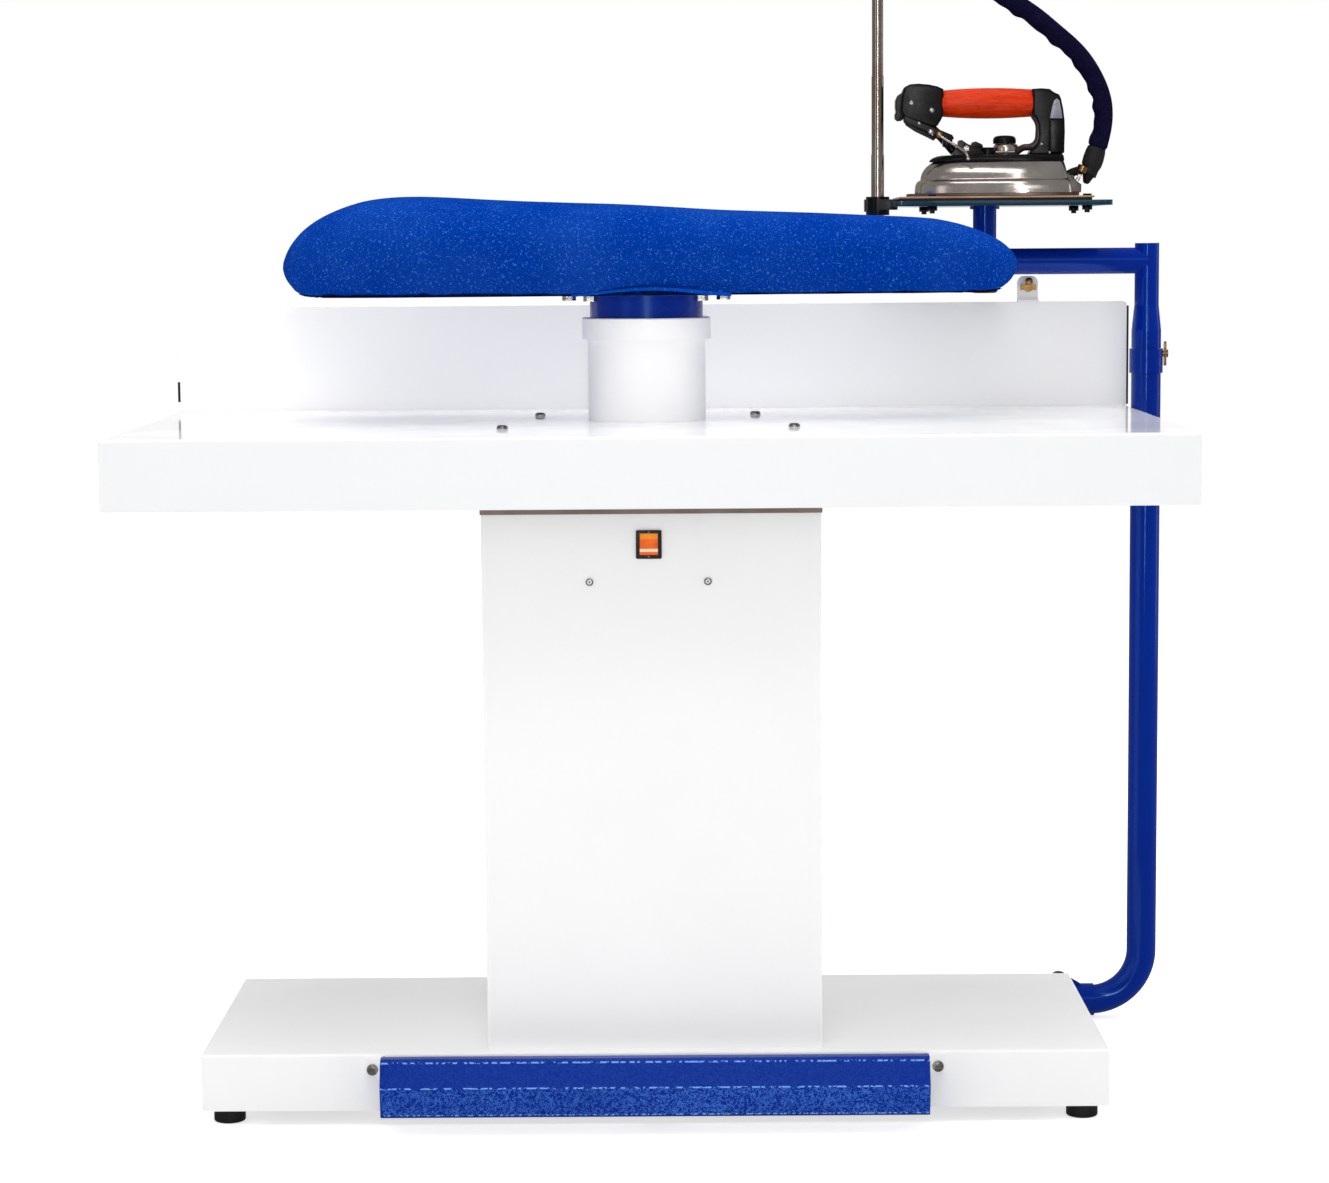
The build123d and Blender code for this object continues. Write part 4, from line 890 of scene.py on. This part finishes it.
def make_form_cloth():
    piece = copy_of("form_pad", "form_cloth")
    focus(piece)
    piece.data.remesh_voxel_size = CLOTH_VOXEL
    piece.data.use_remesh_fix_poles = True
    bpy.ops.object.voxel_remesh()
    grown = FORM_CLOTH_PROUD * MM
    places = []
    for vertex in piece.data.vertices:
        places.append(vertex.co.copy() if in_pocket(vertex.co) else vertex.co + vertex.normal * grown)
    for vertex, place in zip(piece.data.vertices, places):
        vertex.co = place
    stuff(piece)
    focus(piece)
    bpy.ops.object.modifier_add(type="SUBSURF")
    piece.modifiers[-1].levels = 1
    piece.modifiers[-1].render_levels = 1
    apply_modifiers(piece)
    soft_folds(piece)
    hem = make_hem()
    focus(piece)
    hem.select_set(True)
    bpy.ops.object.join()
    settle(piece, "form", "blue_cloth", ("form_pad", "form_cover"), 60)


def make_piping():
    """The rolled edge of the cover, which arches over the hub at the front."""
    arch = [
        (-84, 233, 857.6), (-60, 232, 859.6), (-34, 231.6, 862.4), (-4, 231.4, 863.8), (28, 231.6, 862.6),
        (58, 232, 859.4), (86, 233, 857.0),
    ]
    piping = bent_rod("cover_piping", arch, 1.9)
    settle(piping, "form", "piping", smooth=60)


# Ways of shaping

def lathe(name, place, turn, steps, sides=40):
    """A turned piece. Each step is a radius and a distance along its axis; turn aims the axis."""
    radius, height = steps[0]
    bpy.ops.object.select_all(action="DESELECT")
    bpy.ops.mesh.primitive_circle_add(
        vertices=sides, radius=radius * MM, fill_type="NGON", location=(0, 0, height * MM)
    )
    piece = bpy.context.object
    piece.name = name
    focus(piece)
    bpy.ops.object.transform_apply(location=True, rotation=False, scale=False)
    edit(piece)
    pick_all()
    for wider, higher in steps[1:]:
        rise = (higher - height) * MM
        bpy.ops.mesh.extrude_region_move(TRANSFORM_OT_translate={"value": (0, 0, rise)})
        if wider != radius:
            share = wider / radius
            middle = (0, 0, higher * MM)
            bpy.ops.transform.resize(value=(share, share, 1), center_override=middle)
        radius, height = wider, higher
    end_edit()
    piece.rotation_euler = [math.radians(angle) for angle in turn]
    piece.location = at(*place)
    return piece


def block(name, low, high, bevel, segments=3, cuts=()):
    """A block between two corners, sawn by planes (a point and an outward normal), with rounded edges."""
    middle = at(*[(a + b) / 2 for a, b in zip(low, high)])
    size = [(b - a) * MM for a, b in zip(low, high)]
    bpy.ops.object.select_all(action="DESELECT")
    bpy.ops.mesh.primitive_cube_add(size=1, location=middle, scale=size)
    piece = bpy.context.object
    piece.name = name
    write_place(piece)
    edit(piece)
    for point, normal in cuts:
        pick_all()
        bpy.ops.mesh.bisect(plane_co=at(*point), plane_no=normal, use_fill=True, clear_outer=True)
    if bevel:
        pick_all()
        bpy.ops.mesh.bevel(offset=bevel * MM, segments=segments, affect="EDGES")
    end_edit()
    return piece


def plate(name, outline, y_low, y_high, bevel, smooth=False):
    """A piece cut to an outline of (x, z) places and given a thickness along Y, with rolled edges."""
    line = bpy.data.curves.new(name, "CURVE")
    line.dimensions = "2D"
    line.fill_mode = "BOTH"
    line.extrude = max((y_high - y_low) / 2 - bevel, 0.01) * MM
    line.bevel_depth = bevel * MM
    line.bevel_resolution = 3
    line.offset = -bevel * MM
    spline = line.splines.new("BEZIER" if smooth else "POLY")
    points = spline.bezier_points if smooth else spline.points
    points.add(len(outline) - 1)
    for point, (x, z) in zip(points, outline):
        local = ((x - ORIGIN_X) * MM, z * MM, 0)
        if smooth:
            point.co = local
            point.handle_left_type = "AUTO"
            point.handle_right_type = "AUTO"
        else:
            point.co = (*local, 1)
    spline.use_cyclic_u = True
    line.resolution_u = 5
    piece = as_mesh(new_object(name, line))
    piece.rotation_euler = (math.radians(90), 0, 0)
    piece.location = (0, ((y_low + y_high) / 2 - ORIGIN_Y) * MM, 0)
    return piece


def bent_rod(name, points, radius, turns=4):
    """A rod or pipe bent smoothly through its points."""
    line = bpy.data.curves.new(name, "CURVE")
    line.dimensions = "3D"
    line.bevel_depth = radius * MM
    line.bevel_resolution = turns
    line.use_fill_caps = True
    line.resolution_u = 8
    spline = line.splines.new("BEZIER")
    spline.bezier_points.add(len(points) - 1)
    for point, place in zip(spline.bezier_points, points):
        point.co = at(*place)
        point.handle_left_type = "AUTO"
        point.handle_right_type = "AUTO"
    return as_mesh(new_object(name, line))


def join(name, *pieces):
    """Several shaped pieces of one real part become one mesh."""
    for piece in pieces:
        focus(piece)
        bpy.ops.object.transform_apply(location=True, rotation=True, scale=True)
    focus(pieces[0])
    for piece in pieces[1:]:
        piece.select_set(True)
    bpy.ops.object.join()
    bpy.context.object.name = name
    return bpy.context.object


def round_edges(piece, width, segments=2, angle=35):
    focus(piece)
    bpy.ops.object.modifier_add(type="BEVEL")
    bevel = piece.modifiers[-1]
    bevel.width = width * MM
    bevel.segments = segments
    bevel.limit_method = "ANGLE"
    bevel.angle_limit = math.radians(angle)
    apply_modifiers(piece)


# Small hardware

def make_front_screws():
    """Painted pan head screws on the column's front, each with a black disc in its driver recess as painted
    shade.
    """
    heads = []
    recess_shades = []
    for x in FRONT_SCREWS_X:
        steps = [(3.6, 0), (3.9, 0.6), (3.6, 1.6), (2.6, 2.3), (1.4, 2.5)]
        heads.append(lathe("screw", (x, COLUMN_FRONT_Y + 0.2, FRONT_SCREW_Z), (90, 0, 0), steps, 28))
        # Painted shade: each recess is a thin black disc standing for the shade inside it.
        place = (x, COLUMN_FRONT_Y - 2.2, FRONT_SCREW_Z)
        recess_shades.append(lathe("recess", place, (90, 0, 0), [(1.0, 0), (1.0, 0.45)], 12))
    settle(join("front_screw_heads", *heads), "frame", "white_gloss", smooth=60)
    settle(join("front_screw_recesses", *recess_shades), "frame", "rubber")


def make_switch_marks():
    """Two small rivets in the switch frame, above and below the lens."""
    rivets = []
    for z in (SWITCH_Z - SWITCH_RIVET_RISE, SWITCH_Z + SWITCH_RIVET_RISE):
        steps = [(1.1, -0.6), (1.1, 0.3), (0.7, 0.6)]
        rivets.append(lathe("rivet", (SWITCH_X, SWITCH_FACE_Y, z), (90, 0, 0), steps, 16))
    settle(join("switch_rivets", *rivets), "frame", "zinc", smooth=40)


def make_pole_clamp_window():
    """The pale sight plate on the pole clamp's side."""
    window = block("clamp_window", (251.6, 521.5, 944.5), (256.4, 524.0, 956.5), 0.8, 2)
    settle(window, "arm", "grey_lens")


def make_rest_plates():
    """The glass with its ground edge, the mat, the sheet and the bolts, shortened at the iron's back."""
    plates = (
        ("glass_plate", "rest_glass", "glass", "rest_glass", 13.0, 2.2),
        ("mat_plate", "rest_mat", "rubber", "black_rubber", 10.0, 0.8),
        ("cover_sheet", "rest_sheet", "rest_sheet", "tan_sheet", 10.0, 0.6),
        ("plate_bolts", "rest_bolts", "black", "black_plastic", 10.0, 0.0),
    )
    for name, node, finish, slot, shorter, rounding in plates:
        piece = copy_of(node, name)
        for vertex in piece.data.vertices:
            x = vertex.co.x / MM + ORIGIN_X
            if x > REST_HOLES_X:
                vertex.co.x -= REST_SHORTER * MM
            if x > REST_ENDS_X:
                vertex.co.x -= (shorter - REST_SHORTER) * MM
        if rounding:
            round_edges(piece, rounding, 3, 50)
        settle(piece, "arm", finish, (node,), 40)


# The iron

def plan_sheet(name):
    """The iron's plan outline as one flat face, taken from its sole."""
    piece = copy_of("iron_sole", name)
    edit(piece)
    pick(piece, lambda centre, normal: normal.z < 0.9)
    bpy.ops.mesh.delete(type="FACE")
    pick_all()
    bpy.ops.mesh.dissolve_limited(angle_limit=math.radians(1))
    end_edit()
    return piece


def built_up(name, rings):
    """The iron's plan drawn up through rings, each given as nose, back, half width and height."""
    piece = plan_sheet(name)
    nose, back, half, height = IRON_NOSE_X, IRON_REAR_X, IRON_HALF_WIDTH, IRON_SOLE_TOP
    edit(piece)
    pick_all()
    for index, ring in enumerate(rings):
        if index:
            bpy.ops.mesh.extrude_region_move(TRANSFORM_OT_translate={"value": (0, 0, 0)})
        share = ((ring[1] - ring[0]) / (back - nose), ring[2] / half, 1)
        bpy.ops.transform.resize(value=share, center_override=at(back, REST_Y, height))
        bpy.ops.transform.translate(value=((ring[1] - back) * MM, 0, (ring[3] - height) * MM))
        nose, back, half, height = ring
    end_edit()
    return piece


def make_iron_body():
    sole = built_up("iron_sole_plate", [
        (295, 485, 56, 962.3), (293, 486, 57, 963.2), (293, 486, 57, 965.2), (294, 485.4, 56.2, 966.0),
    ])
    heel_outline = [
        (468, 966.2), (491.0, 966.2), (491.4, 975.0), (486.6, 978.6), (481.2, 983.4), (476.4, 988.0),
        (468, 988.0),
    ]
    heel = plate("heel", heel_outline, 507, 553, 1.0)
    settle(join("iron_sole_plate", sole, heel), "iron", "aluminium", ("iron_sole",), 40)
    shell = built_up("iron_chrome_shell", [
        (302.9, 478.6, 55.0, 965.9), (302.7, 478.4, 55.1, 969.0), (302.9, 478.0, 55.0, 972.5),
        (303.6, 477.2, 54.4, 976.3), (305.0, 476.2, 53.2, 979.0), (307.0, 475.4, 51.6, 980.6),
        (308.3, 474.9, 49.9, 981.1), (309.0, 474.6, 48.9, 981.5), (309.2, 474.4, 48.4, 982.8),
        (309.6, 473.8, 47.9, 985.5), (310.5, 473.0, 47.0, 988.5), (312.4, 472.1, 45.4, 992.2),
        (315.4, 471.2, 43.1, 996.0), (319.4, 470.4, 40.6, 999.4), (324.4, 469.8, 37.9, 1002.0),
        (330.0, 469.4, 35.4, 1003.4),
    ])
    settle(shell, "iron", "chrome", ("iron_skirt",), 50)
    deck = built_up("iron_deck", [
        (319.6, 470.2, 38.4, 1001.8), (319.4, 470.4, 38.8, 1003.0), (320.6, 470.3, 38.5, 1004.8),
        (323.6, 470.0, 37.2, 1006.8), (328.0, 469.6, 35.4, 1008.5), (333.0, 469.0, 33.2, 1009.4),
        (345.0, 467.0, 28.0, 1009.6),
    ])
    boss_steps = [(9.5, 0), (9.5, 7.4), (8.6, 9.2), (6.5, 9.8)]
    boss = lathe("boss", (386, REST_Y, DECK_TOP_Z), (0, 0, 0), boss_steps, 32)
    valve_outline = [
        (344.5, 1008.5), (345.5, 1014.5), (350.8, 1018.6), (351.8, 1026.0), (355.4, 1026.7), (362.2, 1022.0),
        (366.2, 1020.6), (367.6, 1024.0), (371.6, 1024.9), (378.6, 1021.6), (380.0, 1018.6), (377.4, 1015.6),
        (381.0, 1012.4), (381.6, 1008.5),
    ]
    valve = plate("valve", valve_outline, 516, 532, 0.8)
    body = join("iron_deck", deck, boss, valve)
    settle(body, "iron", "black", ("iron_top_cover",), 40)
    plinth_steps = [(15.2, 0), (15.2, 3.6), (14.7, 4.2)]
    plinth = lathe("plinth", (PLINTH_X, REST_Y, DECK_TOP_Z), (0, 0, 0), plinth_steps, 40)
    settle(plinth, "iron", "brown_gloss", smooth=40)


def make_knob():
    """The thermostat knob: domed and finely fluted, on its bright collar."""
    steps = [
        (12.3, 0), (13.0, 0.6), (13.2, 1.6), (13.1, 5.0), (12.3, 7.0), (10.6, 8.5), (7.4, 9.3), (3.4, 9.6),
    ]
    knob = lathe("knob", (KNOB_X, REST_Y, KNOB_Z), (0, 0, 0), steps, KNOB_SIDES)
    write_place(knob)
    edit(knob)
    middle = at(KNOB_X, REST_Y, 0)

    def every_third_side(centre, normal):
        turn = math.atan2(centre.y - middle.y, centre.x - middle.x)
        side = int((turn % math.tau) / math.tau * KNOB_SIDES)
        return abs(normal.z) < 0.3 and side % 3 == 0 and KNOB_Z + 1.8 < centre.z / MM < KNOB_Z + 5.2
    pick(knob, every_third_side)
    bpy.ops.mesh.inset(thickness=0.00018, depth=-0.0006, use_individual=True)
    end_edit()
    settle(knob, "knob", "black", ("thermostat_knob",))
    steps = [(14.2, 0), (14.7, 0.5), (14.7, 5.0), (14.0, 6.6), (12.8, 7.9), (12.4, 8.2)]
    collar = lathe("knob_collar", (PLINTH_X, REST_Y, COLLAR_Z), (0, 0, 0), steps, 40)
    settle(collar, "iron", "chrome", smooth=40)


def make_handle():
    steps = [
        (13.6, 0), (14.9, 0.8), (15.5, 8), (16.4, 20), (17.1, 36), (17.4, 52), (17.3, 68), (16.8, 82),
        (16.1, 95), (15.6, 103.2), (14.4, 104),
    ]
    handle = lathe("iron_wood_grip", (332.6, REST_Y, 1068.4), (0, 90, 0), steps, 56)
    settle(handle, "iron", "wood", ("iron_handle",), 60)

    cheek_outline = [
        (334.5, 1084.4), (327.5, 1087.6), (317.4, 1089.8), (305.5, 1090.8), (296.5, 1090.2), (291.0, 1087.6),
        (288.6, 1083.0), (287.4, 1078.0), (286.2, 1068.0), (285.6, 1060.0), (288.0, 1055.6), (291.5, 1051.9),
        (305.5, 1047.2), (315.6, 1043.8), (322.4, 1041.3), (327.6, 1043.0), (331.4, 1048.8), (334.4, 1055.0),
    ]
    cheek = plate("grip_head", cheek_outline, 515.5, 520.7, 2.4)
    far_cheek = plate("far_cheek", cheek_outline, 539.3, 544.5, 2.4)
    core_outline = [(294.6, 1052.4)] + cheek_outline[12:] + cheek_outline[:4]
    core_outline += [(298.5, 1089.4), (294.6, 1087.6)]
    core = plate("core", core_outline, 519.5, 540.5, 1.0)
    post_outline = [
        (436.0, 1084.0), (446.0, 1084.6), (455.6, 1083.8), (459.2, 1081.0), (462.0, 1079.4), (466.6, 1077.4),
        (468.8, 1072.8), (471.2, 1061.8), (473.0, 1048.6), (473.4, 1035.0), (473.0, 1021.0), (470.6, 1011.0),
        (470.6, 1008.6), (436.0, 1008.6), (432.5, 1011.0), (434.5, 1014.5), (439.6, 1018.5), (442.0, 1024.0),
        (443.0, 1034.0), (442.4, 1044.0), (439.6, 1051.0), (436.0, 1054.0),
    ]
    rear = plate("grip_post", post_outline, 515.5, 544.5, 3.0)
    box = block("terminal_box", (454.6, 513.6, 1010.5), (472.6, 545.4, 1049.4), 2.2, 3)
    strut = bent_rod("strut", [(318, 538, 1046), (334, 538, 1030), (350, 538, 1012)], 5.0)
    mounts = join("grip_mounts", cheek, far_cheek, core, rear, box, strut)
    settle(mounts, "iron", "black", ("iron_handle_mounts",))

    lens_outline = [
        (455.8, 1050.2), (470.2, 1050.2), (468.4, 1061.6), (466.4, 1070.8), (463.4, 1072.8), (460.4, 1070.6),
        (457.6, 1061.2),
    ]
    lens = plate("lens", lens_outline, 514.2, 545.8, 0.8)
    settle(lens, "iron", "grey_lens")
    rivets = []
    places = [
        (297.8, 1068.8, 3.0, 515.6), (321.1, 1060.3, 3.0, 515.6), (463.0, 1066.2, 1.2, 514.4),
        (466.0, 1054.6, 1.3, 514.4), (446.4, 1021.4, 1.6, 515.6), (455.4, 1011.8, 1.4, 513.8),
    ]
    for x, z, radius, y in places:
        for face, turn in ((y, 90), (2 * REST_Y - y, -90)):
            profile = [(1, -0.4), (1, 0.5), (0.8, 0.9), (0.42, 0.9), (0.38, 0.3)]
            steps = [(radius * share, height) for share, height in profile]
            rivets.append(lathe("rivet", (x, face, z), (turn, 0, 0), steps, 20))
    settle(join("grip_rivets", *rivets), "iron", "zinc", smooth=40)
    loop = [
        (418, 526, 1012), (426, 523.5, 1017.4), (435, 521.5, 1018.6), (441, 520.8, 1023), (443.6, 520.5, 1034),
        (442.6, 521, 1046), (438, 522, 1054),
    ]
    cable = bent_rod("grip_cable", loop, 3.9)
    settle(cable, "iron", "brown_gloss", smooth=60)


def make_trigger():
    """The steam trigger: a thin finger plate hung between the cheeks, thicker at its lower end."""
    outline = [
        (287.0, 1080.6), (290.6, 1084.4), (292.4, 1083.0), (290.4, 1078.0), (290.0, 1060.0), (289.4, 1052.6),
        (287.6, 1049.4), (282.6, 1048.8), (279.6, 1051.6), (279.4, 1056.0), (280.8, 1059.0), (279.9, 1064.0),
        (280.0, 1072.0), (282.6, 1077.8),
    ]
    flap = plate("steam_trigger", outline, 521.6, 538.4, 0.9)
    settle(flap, "trigger", "black", ("iron_trigger",))


def make_steam_fittings():
    """The steam valve's lever under the grip, its bright pipe, and the couplings at the back."""
    lever_outline = [
        (288.0, 1051.8), (290.8, 1054.6), (344.2, 1032.4), (346.4, 1028.4), (342.0, 1024.6), (288.8, 1046.8),
    ]
    lever = plate("lever", lever_outline, 512.6, 518.6, 1.2)
    blade_outline = [
        (289.8, 1047.8), (292.4, 1043.6), (303.0, 1036.6), (318.0, 1029.4), (323.6, 1026.4), (327.0, 1029.6),
        (312.0, 1038.0), (300.0, 1044.6),
    ]
    blade = plate("blade", blade_outline, 518.0, 530.0, 0.8)
    clamp = block("clamp", (334, 518, 1019), (345, 532, 1032), 1.6, 2)
    settle(join("steam_lever", lever, blade, clamp), "iron", "black")

    rivet_steps = [(2.9, 0), (2.9, 0.8), (2.2, 1.3), (1.0, 1.5)]
    rivet = lathe("rivet", (319.8, 512.9, 1035.9), (90, 0, 0), rivet_steps, 24)
    dot = lathe("dot", (306.4, 512.9, 1045.6), (90, 0, 0), [(1.7, 0), (1.7, 0.6), (1.0, 0.9)], 16)
    bolt = lathe("bolt", (360.4, 516.4, 1016.8), (90, 0, 0), [(4.0, 0), (4.0, 2.4), (3.4, 3.2)], 6)
    pipe_line = [
        (330.6, 511.6, 1031.2), (343.0, 506.0, 1022.8), (353.4, 498.6, 1015.6), (358.2, 493.6, 1011.0),
        (360.2, 490.8, 1006.6),
    ]
    pipe = bent_rod("pipe", pipe_line, 1.5)
    tip = lathe("tip", (360.4, 490.4, 1003.2), (0, 0, 0), [(1.2, 0), (2.3, 1.0), (2.3, 2.8), (1.2, 3.8)], 16)
    wires = [
        bent_rod("wire", [(485.6, 524, 979.4), (488.4, 523, 983.0), (489.6, 522.5, 988.4)], 0.8),
        bent_rod("wire", [(489.6, 524, 979.0), (491.8, 523, 984.0), (495.0, 522.5, 989.6)], 0.8),
    ]
    bright = join("steam_bright_parts", rivet, dot, bolt, pipe, tip, *wires)
    settle(bright, "iron", "chrome", smooth=40)

    joint_steps = [(3.5, 0), (3.5, 1.6), (2.8, 2.4), (1.4, 2.8)]
    joint = lathe("steam_fittings", (329.6, 513.2, 1032.9), (90, 0, 0), joint_steps, 24)
    inlet = lathe("inlet", (480.5, REST_Y, 983.3), (0, 90, 0), [(6.5, 0), (6.5, 4), (5.4, 5)], 8)
    band_steps = [(5.2, 0), (6.2, 0.6), (6.2, 7.2), (5.2, 8.0)]
    band = lathe("band", (492.0, 520.0, 989.2), (0, 24, 0), band_steps, 32)
    brass = join("steam_fittings", joint, inlet, band)
    settle(brass, "iron", "brass", ("iron_steam_fittings",), 40)

    boot_line = [(476, REST_Y, 984), (482, 529, 988.4), (488, 526, 990.6), (495, 522, 992.4)]
    boot = bent_rod("boot", boot_line, 5.0, 5)
    settle(boot, "iron", "rubber", smooth=60)
    cuff_steps = [(10.4, 0), (11.4, 5), (12.0, 13), (11.6, 20), (9.2, 27), (6.4, 34), (3.8, 41), (2.0, 42.6)]
    cuff = lathe("hose_cuff", (511.4, REST_Y, 1017.0), (0, 197, 0), cuff_steps, 32)
    settle(cuff, "iron", "rubber", smooth=60)


make_camera()
make_room()
make_lamp("front_box", (-0.2, -5.2, 1.0), (0, 0, 0.7), (5.5, 1.7), 8, mirrored=False)
make_lamp("key_box", (0.1, -5.0, 1.2), (0.1, 0, 0.7), (0.2, 2.8), 34)
make_lamp("left_box", (-3.9, -0.2, 1.1), (0, 0, 0.7), (1.6, 2.2), 25, mirrored=False)
make_lamp("right_box", (3.9, -0.2, 1.1), (0, 0, 0.7), (1.6, 2.2), 30, mirrored=False)
make_lamp("edge_box", (3.9, 1.0, 0.9), (0.3, 0, 0.8), (0.5, 2.6), 6)
make_lamp("top_box", (0.1, 0.0, 3.8), (0, 0.1, 0.8), (4.0, 3.0), 104, mirrored=False)
make_lamp("sky_box", (-0.3, -1.7, 3.3), (0.35, 0.0, 1.0), (1.3, 0.7), 9)
make_lamp("strip_box", (0.0, -3.0, 2.6), (0.43, 0.0, 1.0), (0.2, 2.4), 6)
make_lamp("left_panel", (-3.0, -3.4, 1.3), (0.3, 0.0, 0.9), (1.0, 2.6), 6)
make_lamp("front_panel", (1.1, -5.0, 2.2), (0.43, 0.0, 1.0), (1.3, 1.4), 4)
make_floor()
dress_nodes()
make_hoses()
make_form_cloth()
make_piping()
make_front_screws()
make_switch_marks()
make_pole_clamp_window()
make_rest_plates()
make_iron_body()
make_knob()
make_handle()
make_trigger()
make_steam_fittings()
